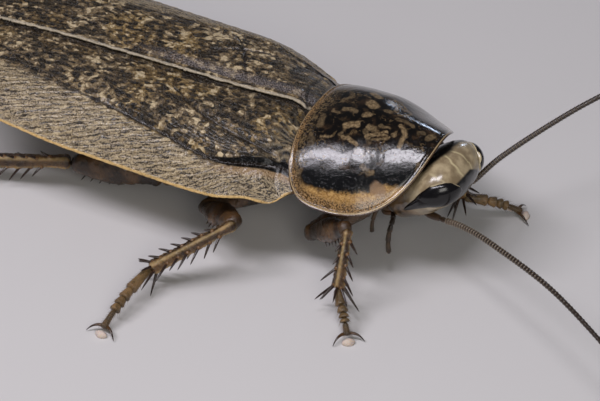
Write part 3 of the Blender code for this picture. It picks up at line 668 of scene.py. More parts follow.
def shield_points(radii, turns):
    """Points of the shield's upper face: radius 0 is the crown and 1 the edge, turn 0 the front."""
    reach = shield_reach(turns)
    x = SHIELD_WIDEST_X + radii * reach * np.cos(turns)
    y = radii * reach * np.sin(turns)
    share = np.minimum(1.0, reach * np.abs(np.sin(turns)) / SHIELD_HALF_WIDTH)
    fore = SHIELD_FRONT_HEIGHT + (SHIELD_SIDE_HEIGHT - SHIELD_FRONT_HEIGHT) * smooth_step(0.0, 1.0, share)
    hind = SHIELD_HIND_HEIGHT + (SHIELD_SIDE_HEIGHT - SHIELD_HIND_HEIGHT) * share**2.4
    edge = np.where(np.cos(turns) > 0, fore, hind)
    z = edge + (SHIELD_CROWN_HEIGHT - edge) * (1.0 - radii ** (1.76 + 0.3 * share))
    return np.stack([x, y, z], -1)


def shield_hind_x(y, grow):
    """Where the shield's hind edge lies at a way across, if the shield is grown a little."""
    share = np.minimum(np.abs(y) / (SHIELD_HALF_WIDTH + grow), 1.0)
    bend = (1.0 - share**SHIELD_HIND_POWER) ** (1.0 / SHIELD_HIND_POWER)
    return SHIELD_WIDEST_X - (SHIELD_HIND_REACH + grow) * bend


def make_shield(finish):
    """The upper face in fine rings, rolled round the edge to a plainer under face."""
    turns = np.linspace(0.0, 2.0 * math.pi, SHIELD_SPOKES, endpoint=False)[None, :]
    radii = (1.0 - (1.0 - np.linspace(0.004, 1.0, SHIELD_RINGS)) ** 1.15)[:, None]
    all_turns = np.broadcast_to(turns, (SHIELD_RINGS, SHIELD_SPOKES))
    upper = shield_points(radii, all_turns)
    plan = upper[..., :2].copy()
    inset = shield_reach(all_turns) * (1.0 - radii)

    # A raised rim inside a shallow gutter, and fine unevenness that grows towards the sides.
    side = smooth_step(0.35, 0.75, np.abs(np.sin(all_turns)))
    upper[..., 2] += 0.02 * bell(inset - 0.04, 0.035) - 0.02 * bell(inset - 0.16, 0.07)
    upper[..., 2] += 0.003 * ripples(upper, 0.7, seed=3) * side * smooth_step(0.1, 0.5, inset)
    upper[..., 2] += 0.0012 * ripples(upper, 0.2, seed=4) * smooth_step(0.1, 0.4, inset)

    # The marks, drawn by an unsteady hand.
    bent = plan + 0.03 * np.stack([ripples(plan, 0.5, seed=5), ripples(plan, 0.5, seed=6)], -1)
    bent += 0.012 * np.stack([ripples(plan, 0.17, seed=7), ripples(plan, 0.17, seed=8)], -1)
    marks = {
        "tan": painted(bent, [*MIDDLE_MARKS, *PAIRED_MARKS, *mirrored(PAIRED_MARKS)]),
        "black": painted(bent, [*BLACK_BANDS, *mirrored(BLACK_BANDS)], 0.22),
        "wedge": painted(bent, [*WEDGES, *mirrored(WEDGES)], 0.35),
    }

    rows = [upper]
    outward = np.stack([np.cos(turns), np.sin(turns), 0.0 * turns], -1)
    for turn in SHIELD_ROLL:
        round_by = SHIELD_EDGE * math.sin(math.pi * turn)
        drop = SHIELD_EDGE * (1.0 - math.cos(math.pi * turn))
        rows.append(upper[-1:] + outward * round_by - UP * drop)
    under_radii = np.linspace(1.0, 0.01, SHIELD_UNDER_RINGS)[:, None]
    under_turns = np.broadcast_to(turns, (SHIELD_UNDER_RINGS, SHIELD_SPOKES))
    rows.append(shield_points(under_radii, under_turns) - UP * 2.0 * SHIELD_EDGE)
    spare = np.zeros((len(SHIELD_ROLL) + SHIELD_UNDER_RINGS, SHIELD_SPOKES))
    marks = {name: np.vstack([mark, spare]) for name, mark in marks.items()}
    shape = Shape()
    shape.grid(np.concatenate(rows), inset=np.vstack([inset, spare - 0.1]), **marks)
    return shape.build("shield_shell", finish, "shield", "pronotum")


# The shield's tan marks as strokes in plan: strength, half width and the points that each runs through.
MIDDLE_MARKS = (
    (0.9, 0.26, ((2.5, 0.4), (2.68, 0.27))),
    (0.5, 0.14, ((1.5, -0.47), (1.8, -0.38), (2.1, -0.5))),
    (0.8, 0.15, ((2.62, -0.5), (2.78, -0.43))),
    (0.5, 0.07, ((1.0, -0.62), (1.4, -0.8))),
    (0.5, 0.09, ((3.55, -0.76), (3.92, -0.67))),
    (0.6, 0.11, ((4.27, -0.87), (4.33, -0.8))),
    (0.8, 0.1, ((4.4, -0.33), (4.64, -0.47), (4.82, -0.72), (4.74, -1.0), (4.8, -1.22))),
    (0.35, 0.1, ((4.05, -0.02), (4.5, 0.05), (4.95, -0.05))),
    (0.3, 0.13, ((5.33, -0.2), (5.45, -0.12))),
    (0.45, 0.16, ((5.8, -0.25), (5.92, -0.05))),
    (0.6, 0.09, ((3.59, 0.98), (3.7, 0.56), (4.03, 0.34), (4.27, 0.6), (4.3, 0.92))),
    (0.5, 0.16, ((3.4, 0.25), (3.55, 0.3))),
    (0.45, 0.12, ((1.1, 0.2), (1.35, 0.5), (1.25, 0.85))),
    (0.35, 0.08, ((1.9, 0.95), (2.2, 0.85))),
)
PAIRED_MARKS = (
    (1.0, 0.16, ((2.1, -1.38), (2.55, -1.14))),
    (0.6, 0.16, ((3.13, -1.1), (3.32, -1.02))),
    (0.8, 0.05, ((3.14, -1.6), (3.3, -1.36), (3.58, -1.12), (4.0, -0.9))),
    (0.65, 0.045, ((3.3, -1.58), (3.52, -1.3), (3.8, -1.14), (4.05, -1.05))),
    (0.7, 0.05, ((3.52, -1.55), (3.8, -1.32), (4.2, -1.1))),
    (0.4, 0.13, ((3.05, 1.3), (3.4, 1.66))),
    (0.35, 0.08, ((2.17, 1.42), (1.99, 1.88))),
    (0.9, 0.045, ((1.16, -2.15), (1.45, -2.06), (1.73, -2.04))),
    (0.8, 0.09, ((2.15, -1.92), (2.5, -1.95), (2.93, -2.02))),
    (0.35, 0.17, ((0.72, -1.14), (0.82, -1.6))),
    (0.3, 0.14, ((0.62, -2.1), (0.85, -2.5))),
    (0.3, 0.1, ((5.92, -1.5), (5.98, -1.75))),
    (0.45, 0.09, ((3.6, -2.7), (4.0, -2.74), (4.15, -2.66))),
)
BLACK_BANDS = (
    (1.0, 0.36, ((1.25, -3.58), (2.0, -3.62), (2.9, -3.46))),
    (1.0, 0.32, ((2.9, -3.44), (3.5, -3.3))),
    (1.0, 0.23, ((3.5, -3.28), (4.08, -3.12))),
    (1.0, 0.12, ((4.05, -3.0), (4.35, -2.78))),
    (1.0, 0.28, ((4.45, -2.58), (4.8, -2.42))),
    (1.0, 0.41, ((4.85, -2.32), (5.1, -2.22), (5.4, -2.1))),
    (1.0, 0.32, ((5.4, -2.05), (5.62, -1.98))),
)
WEDGES = ((1.0, 0.2, ((4.45, -3.06), (4.78, -2.98))),)


def mirrored(strokes):
    """The strokes on the shield's other side."""
    return [(strength, width, tuple((x, -y) for x, y in points)) for strength, width, points in strokes]


def shield_finish():
    """Dark and glossy, with tan marks, black bands and a speckled ochre margin."""
    finish = Finish("glossy shield", 0.2, 0.4, coat=0.25, coat_roughness=0.04)
    places, noise, paint = finish.places, finish.noise, finish.paint
    x = finish.part(places, "X")
    aside = abs(finish.part(places, "Y"))
    inset = finish.mark("inset")
    fine = noise(places, 10.0, 3.0, 0.6)
    bent = finish.warped(places, 3.0, 0.3)

    # Nearly black, clouded with brown and threaded with dim crooked lines, under the tan marks.
    paint((0.004, 0.003, 0.0025))
    paint((0.035, 0.02, 0.01), noise(bent, 1.5, 3.0, 0.6).step(0.5, 0.7))
    line = abs(noise(bent, 2.4) - 0.5)
    paint((0.17, 0.115, 0.055), line.step(0.035, 0.008) * noise(places, 1.7).step(0.5, 0.62) * 0.55)
    dabs = noise(finish.warped(places, 5.0, 0.2), 2.9, 1.0)
    paint((0.12, 0.075, 0.035), dabs.step(0.6, 0.68) * 0.2)
    tan = finish.mix(fine.step(0.3, 0.7), (0.12, 0.08, 0.04), (0.36, 0.26, 0.14))
    paint(tan, finish.mark("tan") * (noise(places, 4.0) * 1.6 + 0.1))

    # Towards the sides and the hind edge the ground turns speckled brown and olive.
    speckles = noise(places, 8.0, 3.0, 0.65).step(0.45, 0.58)
    behind = (x - fine * 0.9).step(0.35, -0.45)
    outer = (inset + fine * 0.7).step(1.45, 0.9) * x.step(5.2, 4.4)
    brown = finish.mix(speckles, (0.012, 0.008, 0.005), (0.19, 0.13, 0.062))
    paint(brown, finish.math("MAXIMUM", behind, outer) * 0.7)

    # The ochre margin turns to dark speckles outwards and ends in a thin pale rim.
    ragged = inset + (noise(places, 6.0, 3.0, 0.65) - 0.5) * 0.3
    ochre = finish.mix(fine.step(0.3, 0.7), (0.22, 0.11, 0.03), (0.48, 0.3, 0.11))
    paint(ochre, ragged.step(0.66, 0.56) * x.step(0.6, 1.8) * aside.step(1.9, 2.7))
    dots = noise(places, 15.0, 3.0, 0.65).step(0.44, 0.58)
    spotted = finish.mix(dots, (0.03, 0.016, 0.008), (0.33, 0.2, 0.085))
    paint(spotted, ragged.step(0.4, 0.24) * x.step(5.5, 4.7) * 0.9)
    paint((0.0035, 0.0035, 0.004), finish.mark("black"))
    paint((0.24, 0.15, 0.085), finish.mark("wedge") * 0.85)
    paint((0.48, 0.36, 0.2), inset.step(0.045, 0.025) * inset.step(-0.03, 0.0) * 0.75)
    paint((0.06, 0.03, 0.014), inset.step(0.0, -0.04))

    # Fine punctures, denser towards the sides and hind corners, and long fine wrinkles.
    pits = finish.cells(finish.warped(places, 3.0, 0.2), 9.0).step(0.0, 0.34)
    finish.bump(pits * (inset.step(1.8, 0.5) * 0.75 + 0.1), 0.03, 0.6)
    finish.bump(noise(finish.vector("MULTIPLY", bent, (0.8, 2.6, 2.6)), 4.0, 3.0, 0.6), 0.006, 0.3)
    finish.bump(noise(places, 22.0), 0.007, 0.6)
    finish.set("Roughness", fine * 0.1 + 0.06)
    return finish.done()


# The fore wings


def lean(points):
    """Turns and moves points behind the shield with the body, which leans there."""
    points = np.asarray(points, float)
    share = fade(LEAN_FULL_X, LEAN_START_X, points[..., 0])
    turn = LEAN * share
    y = points[..., 1]
    z = points[..., 2] - LEAN_HEIGHT
    leaned_y = y * np.cos(turn) - z * np.sin(turn) + LEAN_SHIFT * share
    return np.stack([points[..., 0], leaned_y, LEAN_HEIGHT + y * np.sin(turn) + z * np.cos(turn)], -1)


def wing_shoulder(share, side):
    """How much narrower a wing is near its root, by the share of its length."""
    root, full_at = WING_SHOULDERS[side]
    return root + (1.0 - root) * smooth_step(0.0, full_at, share) ** 0.7


def wing_half_width(share, side):
    """How far a wing reaches out from the middle, by the share of its length."""
    taper = 1.0 - 0.06 * smooth_step(0.5, 0.9, share)
    tip = np.sqrt(np.clip(1.0 - np.clip((share - 0.7) / 0.3, 0.0, 1.0) ** 2.3, 0.0, 1.0))
    return WING_HALF_WIDTH * wing_shoulder(share, side) * taper * tip


def wing_back(x):
    """The height of the wings' roof along its middle."""
    bend = np.minimum(0.0, x - WING_TIP_BEND_X)
    return WING_BACK_HEIGHT + WING_BACK_SLOPE * x - WING_TIP_BEND * bend**2


def clavus_line(run):
    """How far out the furrow round the clavus lies, by the way from the wing's root."""
    return CLAVUS_WIDTH * np.sqrt(np.clip(1.0 - np.clip(run / CLAVUS_RUN, 0.0, 1.0) ** 2.2, 0.0, 1.0))


def wing_veins(run, out, groove):
    """The net of veins, from 0 between them to 1 on them."""
    line = clavus_line(run)
    beyond = out - groove
    between_furrows = 11.0 * (out - line) / np.maximum(groove - line, 0.05)
    lengthwise = np.where(out < line, 8.0 * out / np.maximum(line, 0.05), between_furrows)
    lengthwise = np.where(beyond > 0, (run - 2.4 * beyond) / 0.62, lengthwise)
    place = np.stack([run, out], -1)
    lengthwise = lengthwise + 0.16 * ripples(place, 1.3, seed=8)
    crosswise = run / 0.34 + 0.5 * (np.floor(lengthwise) % 2) + 0.35 * ripples(place, 0.8, seed=9)
    long_veins = (0.5 + 0.5 * np.cos(2.0 * math.pi * lengthwise)) ** 4
    cross_veins = (0.5 + 0.5 * np.cos(2.0 * math.pi * crosswise)) ** 6
    return np.maximum(long_veins, 0.7 * cross_veins) * np.where(beyond > 0, smooth_step(0.8, 2.4, run), 1.0)


def wing_creases(run, out):
    """Two faint bent creases across the left wing, from 0 beside them to 1 on them."""
    creases = np.zeros_like(out)
    for (from_run, from_out), (to_run, to_out) in CREASES:
        middle = from_run + (to_run - from_run) * (out - from_out) / (to_out - from_out)
        inside = smooth_step(from_out - 0.3, from_out, out) * fade(to_out, to_out + 0.4, out)
        creases = np.maximum(creases, bell(run - middle - 0.12 * np.sin(out * 2.0), 0.11) * inside)
    return creases


def wing_points(shares, columns, side):
    """Points of a fore wing's upper face and the marks on them. Side is 1 for the left, which laps."""
    share = np.maximum(shares, 0.0)[:, None]
    half_width = wing_half_width(share, side)
    lap = WING_LAP * fade(0.8, 1.0, share)
    out = -lap + (half_width + lap) * columns[None, :]
    far_out = np.abs(out)
    run = WING_RUN * share * np.ones_like(out)

    # The root follows the shield's hind edge and goes on under it, but for the rounded near corner.
    root_x = shield_hind_x(np.minimum(out, SHIELD_HALF_WIDTH + 0.12), 0.3)
    corner = np.clip((out - half_width[0, 0] + CORNER_OUT) / CORNER_OUT, 0.0, 1.0)
    root_x -= CORNER_BACK * (1.0 - np.sqrt(1.0 - corner**2))
    tuck = 0.02 + 0.98 * fade(4.0, 4.7, far_out)
    tucked = WING_RUN * np.minimum(shares, 0.0)[:, None] * tuck
    x = root_x * fade(0.0, 0.2, share) - run - tucked

    # The roof, steep at its sides, and lower where it goes under the shield.
    width_share = np.minimum(1.0, far_out / (WING_HALF_WIDTH * wing_shoulder(share, side)))
    power = WING_SIDE_POWER - WING_ROOT_SOFTNESS * fade(0.0, 0.25, share)
    z = wing_back(x) - (WING_SIDE_DEPTH + WING_SIDE_SLOPE * x) * width_share**power
    z -= WING_ROOT_DIP * fade(0.0, 0.05, share)
    z -= 0.35 * fade(-0.03, 0.02, shares)[:, None] * fade(1.5, 4.2, far_out)
    z += 0.22 * tucked * smooth_step(3.2, 3.8, far_out)
    if side < 0:
        z -= (WING_THICKNESS + 0.12) * fade(lap + 0.3, lap + 1.7, out)

    # Veins, the furrow round the clavus, the groove with its crest, the fan at the root and the rim.
    away = smooth_step(0.25, 0.8, run)
    before_tip = fade(0.93, 1.0, share)
    line = clavus_line(run)
    groove = smooth_curve(run, GROOVE) * half_width / np.maximum(wing_half_width(share, -1), 1e-6)
    along_groove = fade(7.0, 11.0, run) * away
    net = wing_veins(run, out, groove) * away
    fan = (0.5 + 0.5 * np.cos(np.arctan2(out - 2.2, run + 0.55) * 26.0)) ** 2
    fan *= bell(np.hypot(run + 0.2, (out - 2.6) * 0.8), 1.25)
    creases = wing_creases(run, out) if side > 0 else np.zeros_like(out)
    edge = half_width - out
    z += VEIN_RELIEF * net * before_tip
    z -= FURROW_DEPTH * bell(out - line, 0.12) * fade(6.0, 8.6, run) * away
    z += GROOVE_CREST * bell(out - groove + 0.24, 0.09) * along_groove
    z -= GROOVE_DEPTH * bell(out - groove, 0.13) * along_groove
    z += FAN_HEIGHT * fan * away
    z -= CREASE_DEPTH * creases
    z += RIM_HEIGHT * bell(edge - 0.06, 0.06) * before_tip

    streak = bell(out - groove + 0.02, 0.13 + 0.12 * fade(1.2, 3.4, run))
    clavus_furrow = 0.8 * bell(out - line, 0.1) * fade(6.6, 8.4, run) * away
    groove_line = bell(out - groove, 0.1) * fade(10.0, 13.0, run)
    marks = {
        "run": run + tucked,
        "out": out,
        "front": run + tucked + WING_RUN * WING_TUCK * tuck,
        "net": net,
        "fan": fan,
        "beyond": out - groove,
        "streak": streak * fade(6.5, 10.5, run) * fade(2.6, 4.6, run),
        "furrow": np.max([creases, clavus_furrow, groove_line], axis=0),
        "edge": edge,
    }
    return lean(np.stack([x, side * out, z], -1)), marks


def make_wing(name, side, finish, node):
    """A wing's upper face in full detail, closed by a plainer lower one along the same edges."""
    shares = np.linspace(-WING_TUCK, WING_END, WING_ROWS)
    points, marks = wing_points(shares, np.linspace(0.0, 1.0, WING_COLUMNS), side)
    normals = unit(np.cross(np.gradient(points, axis=1), np.gradient(points, axis=0)))
    normals *= np.sign(normals[WING_ROWS // 2, WING_COLUMNS // 2, 2])
    lower = points - normals * WING_THICKNESS
    shape = Shape()
    closed = {mark: np.hstack([value, value[:, ::-3]]) for mark, value in marks.items()}
    shape.grid(np.hstack([points, lower[:, ::-3]]), **closed)
    return shape.build(name, finish, "wing", node)


def wing_finish(name, side):
    """Speckled from cell to cell of a fine net of veins, paler outside the groove."""
    finish = Finish(name, 0.3, 0.5, coat=0.2, coat_roughness=0.12)
    mark, noise, paint = finish.mark, finish.noise, finish.paint
    run, out, beyond = mark("run"), mark("out"), mark("beyond")
    lie = finish.join(run, out, 3.0 * side)
    bent = finish.warped(lie, 1.5, 0.28)
    costal = beyond.step(0.02, 0.3)
    fine = noise(lie, 13.0, 3.0, 0.6)

    # Each cell is dark, brown, tan or cream by chance, in clouds of several cells.
    stretched = finish.vector("MULTIPLY", bent, (0.6, 1.0, 1.0))
    chance = finish.part(finish.cells(stretched, 5.4, output="Color"), "X")
    value = chance * 0.4 + noise(bent, 2.7) * 0.9 + noise(lie, 0.8) * 0.6 + noise(lie, 9.0) * 0.35
    # The left wing is painted a little paler, as painted light on its side turned from the lamps.
    value = value + costal * 0.04 + (0.012 + 0.012 * side) - run.step(4.0, 0.0) * 0.07
    ochre = noise(lie, 0.45).step(0.45, 0.62)
    paint((0.006, 0.0045, 0.0035))
    paint(finish.mix(ochre, (0.052, 0.035, 0.019), (0.095, 0.058, 0.02)), value.step(1.02, 1.16))
    paint(finish.mix(ochre, (0.21, 0.152, 0.082), (0.28, 0.19, 0.075)), value.step(1.16, 1.26))
    paint((0.62, 0.5, 0.31), value.step(1.3, 1.4))
    paint((0.25, 0.18, 0.09), mark("net") * 0.25)
    # The fan of ribs at the root is pale, and paler still as a painted sparkle.
    paint((0.42, 0.34, 0.21), mark("fan") * 0.6)

    # Outside the groove fine slanting veins cross a sand-coloured field, ochre at the root.
    slant = run - beyond * 2.2 + noise(lie, 2.2) * 0.4
    wave = finish.math("SINE", slant * (2.0 * math.pi / 0.42)) * run.step(0.6, 2.6)
    dashes = noise(finish.join(slant, out * 0.7), 7.5, 3.0, 0.7) + wave * 0.04
    dashes = dashes + (fine - 0.5) * (run.step(3.4, 1.0) * 0.6 + 0.5)
    sand = finish.mix(dashes.step(0.42, 0.56), (0.022, 0.015, 0.009), (0.5, 0.395, 0.24))
    paint(sand, costal * 0.75)
    paint((0.34, 0.2, 0.085), run.step(4.2, 1.6) * beyond.step(0.62, 0.3) * beyond.step(0.0, 0.2) * 0.6)
    golden_side = mark("edge").step(0.12, 0.04) * costal
    golden_front = mark("front").step(0.12, 0.04) * out.step(4.0, 4.3)
    paint((0.66, 0.44, 0.17), finish.math("MAXIMUM", golden_side, golden_front))

    # Painted shade on the right wing beside the lap, where the left wing's edge lies over it.
    if side < 0:
        paint((0.012, 0.008, 0.005), (out + fine * 0.5).step(1.0, 0.55) * 0.75)
    else:
        # The left wing has a painted grey sheen beside the lap, and a pale hem.
        grey_sheen = finish.mix(fine.step(0.44, 0.58), (0.04, 0.032, 0.03), (0.42, 0.37, 0.36))
        paint(grey_sheen, out.step(0.85, 0.4) * out.step(-0.05, 0.1) * run.step(11.0, 7.0) * 0.5)
        pale = finish.mix(fine, (0.3, 0.23, 0.14), (0.8, 0.72, 0.56))
        paint(pale, (out + noise(lie, 3.0) * 0.12).step(-0.08, -0.16) * 0.9)

    # Painted shade under the shield and in the furrows and creases, and black in the streak along the
    # groove.
    streak = mark("streak").step(0.35, 0.6)
    paint((0.02, 0.014, 0.01), run.step(-0.4, -0.75) * 0.75)
    paint((0.004, 0.004, 0.004), streak)
    # Painted shade along the furrows and creases.
    paint((0.014, 0.009, 0.006), mark("furrow").step(0.3, 0.85) * 0.85)

    # The cells' borders, slanting veins and grain stand up, and the streak sparkles here and there.
    border = finish.cells(stretched, 5.4, "DISTANCE_TO_EDGE")
    finish.bump(border.step(0.12, 0.0) * (1.0 - streak), 0.035, 0.8)
    finish.bump(wave * costal * 0.5, 0.02, 0.5)
    finish.bump(noise(lie, 11.0, 3.0, 0.65), 0.06, 0.6)
    finish.bump(noise(lie, 24.0), 0.05, 0.8)
    finish.bump(noise(lie, 9.0) * streak, 0.16)
    dull = streak * noise(lie, 7.0).step(0.62, 0.52)
    finish.set("Specular IOR Level", 0.5 - dull * 0.42)
    finish.set("Roughness", 0.27 - streak * 0.06 + (fine - 0.5) * 0.3)
    return finish.done()


# The trunk and the head

# Pale lines over the crown, as strokes by the way across it and out of the face, and the black patch
# behind them, as strokes by the way down the head and across it.
HEAD_LINES = (
    (0.8, 0.045, ((-0.2, -1.05), (-0.37, -0.85), (-0.57, -0.55), (-0.67, -0.03), (-0.61, 0.25))),
    (0.75, 0.045, ((0.12, -0.95), (0.18, -0.71), (0.22, -0.3), (0.22, 0.06), (0.14, 0.3))),
    (0.6, 0.05, ((1.45, -0.5), (1.41, -0.32), (1.32, -0.05), (0.93, 0.22))),
    (0.4, 0.035, ((-1.45, -0.85), (-1.6, -0.5), (-1.5, -0.2))),
)
OCCIPUT = (
    (1.0, 0.5, ((0.9, 1.6), (0.76, 0.6), (0.72, 0.0))),
    (1.0, 0.42, ((0.74, 0.0), (0.98, -0.6))),
    (1.0, 0.3, ((0.98, -0.6), (1.2, -1.0))),
    (1.0, 0.8, ((1.7, 1.4), (1.7, -0.3))),
    (1.0, 0.55, ((1.7, -0.3), (1.9, -0.9))),
)


def cuticle_finish(name, dark, light, spots=0.0, gloss=0.32, scale=1.0, ridges=0.0, grain=0.04):
    """Amber-brown cuticle: cloudy, finely grained, with dark spots, and painted shade and highlight on
    ridges where asked.
    """
    finish = Finish(name, gloss, 0.45, coat=0.2, coat_roughness=0.15)
    places, noise, paint = finish.places, finish.noise, finish.paint
    fine = noise(places, 14.0 * scale, 3.0, 0.6)
    paint(dark)
    paint(light, noise(places, 0.9 * scale, 3.0, 0.55).step(0.35, 0.68))
    paint(dark, fine.step(0.4, 0.7) * 0.35)
    if spots:
        paint((0.02, 0.011, 0.006), noise(places, 3.2 * scale).step(0.56, 0.64) * spots)
    # Painted shade between the ridges, and pale ridges lightened further by a painted highlight.
    if ridges:
        ridge = finish.mark("ridge")
        paint((0.03, 0.014, 0.007), ridge.step(0.3, 0.0) * ridges)
        paint((0.5, 0.36, 0.16), ridge * ridges)
    paint((0.012, 0.008, 0.006), finish.mark("dark"))
    finish.bump(fine, grain, 0.8)
    finish.bump(finish.cells(places, 6.0 * scale), grain / 2.0, 0.35)
    finish.glow_through(0.12, (0.5, 0.2, 0.08), 0.4)
    return finish.done()


def body_rings(x, half_width, top, edge, bottom, sides=64):
    """Oval slices across the body."""
    angles = ring_angles(sides)
    y = half_width[:, None] * signed_power(np.cos(angles), 0.85)[None, :]
    lift = np.sin(angles)[None, :]
    reach = np.where(lift > 0, (top - edge)[:, None], (edge - bottom)[:, None])
    z = edge[:, None] + reach * signed_power(lift, 0.85)
    return np.stack([np.broadcast_to(x[:, None], y.shape), y, z], -1)


def make_trunk(finish):
    """Thorax and abdomen in one skin: each segment flares to its hind edge and laps the next."""
    shape = Shape()
    x = np.linspace(5.0, ABDOMEN_FRONT_X - 0.2, 120)
    table = np.array(THORAX)
    half_width, top, bottom = (smooth_curve(-x, table[:, (0, column)]) for column in (1, 2, 3))
    edge = (top + bottom) / 2.0 - 0.1
    folds = 0.05 * np.cos(x * 5.2) ** 8
    shape.grid(body_rings(x, half_width - folds, top - folds, edge, bottom + folds), dark=0.0)

    places, flares = np.array(RING_FLARE * ABDOMEN_RINGS).T
    rings = np.repeat(np.arange(ABDOMEN_RINGS), len(RING_FLARE))
    shares = (rings + places) / ABDOMEN_RINGS
    swell = 0.86 + 0.14 * np.sin(math.pi * np.minimum(shares * 1.25, 1.0))
    width = ABDOMEN_HALF_WIDTH * swell * fade(0.4, 1.2, shares) * flares
    x = ABDOMEN_FRONT_X + (ABDOMEN_TIP_X - ABDOMEN_FRONT_X) * shares
    edge = 4.05 - 0.2 * shares
    top = edge + (wing_back(x) - 2.15 - edge) * flares
    bottom = edge - (1.55 - 0.65 * shares**2) * flares
    points = body_rings(x, width, top, edge, bottom)
    across = points[..., 1] / np.maximum(width[:, None], 0.01)
    dark = 0.55 * smooth_step(0.8, 0.95, places)[:, None] + 0.35 * bell(np.abs(across) - 0.62, 0.12)
    shape.grid(lean(points), dark=dark)
    return shape.build("trunk_skin", finish, "abdomen", "prothorax", "mesothorax", "metathorax", "abdomen")


def head_place(down, across, out):
    """A place by its way down the face from the crown, across it, and out of it."""
    sine, cosine = math.sin(HEAD_LEAN), math.cos(HEAD_LEAN)
    down, across, out = np.broadcast_arrays(down, across, out)
    way = np.stack([-cosine * down + sine * out, across, -sine * down - cosine * out], -1)
    return np.array(CROWN) + way


def head_girth(down):
    """The share of its full width and depth that the head has at a way down it."""
    rise = np.clip((HEAD_WIDEST - down) / (HEAD_WIDEST - HEAD_TOP), 0.0, 1.0)
    fall = np.clip((down - HEAD_WIDEST) / (HEAD_LENGTH - HEAD_WIDEST), 0.0, 1.0)
    return (1.0 - rise**2.5) ** (1.0 / 2.5) * (1.0 - 0.36 * fall**1.5) * (1.0 - fall**9) ** 0.5 + 0.01


def make_head(finish):
    """The head's shell, with shallow seats for the feelers and seams above the mouth."""
    share = ((1.0 - np.cos(np.linspace(0.0, math.pi, HEAD_RINGS))) / 2.0)[:, None]
    down = HEAD_TOP + (HEAD_LENGTH - HEAD_TOP) * share
    angles = ring_angles(HEAD_SPOKES, 0.0)[None, :]
    across = HEAD_HALF_WIDTH * head_girth(down) * signed_power(np.cos(angles), HEAD_SIDE_POWER)
    out = HEAD_HALF_DEPTH * head_girth(down) * signed_power(np.sin(angles), HEAD_FACE_POWER)
    down = down * np.ones_like(angles)
    points = head_place(down, across, out)
    inward = unit(points.mean((0, 1)) - points)
    for side_name, side in SIDES.items():
        seat = np.array(FEELERS[side_name][0]) + (0.25, 0.1 * side, 0.1)
        far = np.linalg.norm(points - seat, axis=-1)
        points = points + inward * (0.12 * bell(far, 0.35) - 0.05 * bell(far - 0.5, 0.1))[..., None]
    face = smooth_step(-0.1, 0.3, out)
    seam = 0.04 * (bell(down - 3.7, 0.06) + bell(down - 4.3, 0.05)) * face
    points = points + inward * (seam + 0.006 * ripples(points, 0.5, seed=12))[..., None]

    front_plan = np.stack([across, out], -1)
    top_plan = np.stack([down, across], -1)
    uneven = 0.03 * np.stack([ripples(points, 0.6, seed=13), ripples(points, 0.6, seed=14)], -1)
    pale = painted(front_plan + uneven, HEAD_LINES, 0.5) * fade(0.6, 0.9, down)
    occiput = painted(top_plan + uneven, OCCIPUT, 0.25) * fade(-0.5, -0.1, out)
    frons = smooth_step(0.22, 0.34, out - 0.6 * np.maximum(across, 0.0)) * fade(0.8, 1.3, down)
    shape = Shape()
    shape.grid(points, pale=pale, dark=np.maximum(occiput, frons), down=down)
    return shape.build("head_shell", finish, "head", "head")


def head_finish():
    """Pale over the crown with paler lines, brown on the cheeks, and black behind and in front."""
    finish = Finish("glossy head", 0.3, 0.5, coat=0.8, coat_roughness=0.2)
    paint = finish.paint
    fine = finish.noise(finish.places, 10.0, 3.0)
    cloud = finish.noise(finish.places, 1.6, 3.0)
    cheek = finish.mix(cloud.step(0.4, 0.62), (0.045, 0.024, 0.012), (0.2, 0.12, 0.055))
    paint((0.25, 0.19, 0.11))
    paint((0.5, 0.405, 0.25), cloud.step(0.35, 0.65))
    paint(cheek, (finish.mark("down") + cloud * 0.5).step(2.2, 3.2))
    paint((0.12, 0.07, 0.025), fine * 0.25)
    paint((0.62, 0.53, 0.31), finish.mark("pale"))
    paint((0.004, 0.0035, 0.0035), finish.mark("dark"))
    finish.bump(fine, 0.012, 0.4)
    return finish.done()


# The outline of an eye on the head: the way down, the middle out of the face and the half width.
EYE_SHAPE = (
    (0.06, 0.3, 0.0),
    (0.08, 0.3, 0.17),
    (0.12, 0.3, 0.3),
    (0.22, 0.29, 0.45),
    (0.42, 0.28, 0.59),
    (0.7, 0.26, 0.68),
    (0.95, 0.2, 0.61),
    (1.4, 0.04, 0.41),
    (1.9, 0.02, 0.26),
    (2.4, 0.02, 0.17),
    (2.8, 0.03, 0.09),
    (3.0, 0.03, 0.0),
)


def head_side(down, out, side):
    """The place on the head's side at a way down it and a way out of the face."""
    girth = head_girth(down)
    sine = np.clip(np.abs(out) / (HEAD_HALF_DEPTH * girth), 0.0, 1.0) ** (1.0 / HEAD_FACE_POWER)
    across = HEAD_HALF_WIDTH * girth * (1.0 - sine**2) ** (0.5 * HEAD_SIDE_POWER)
    return head_place(down, side * across, out)


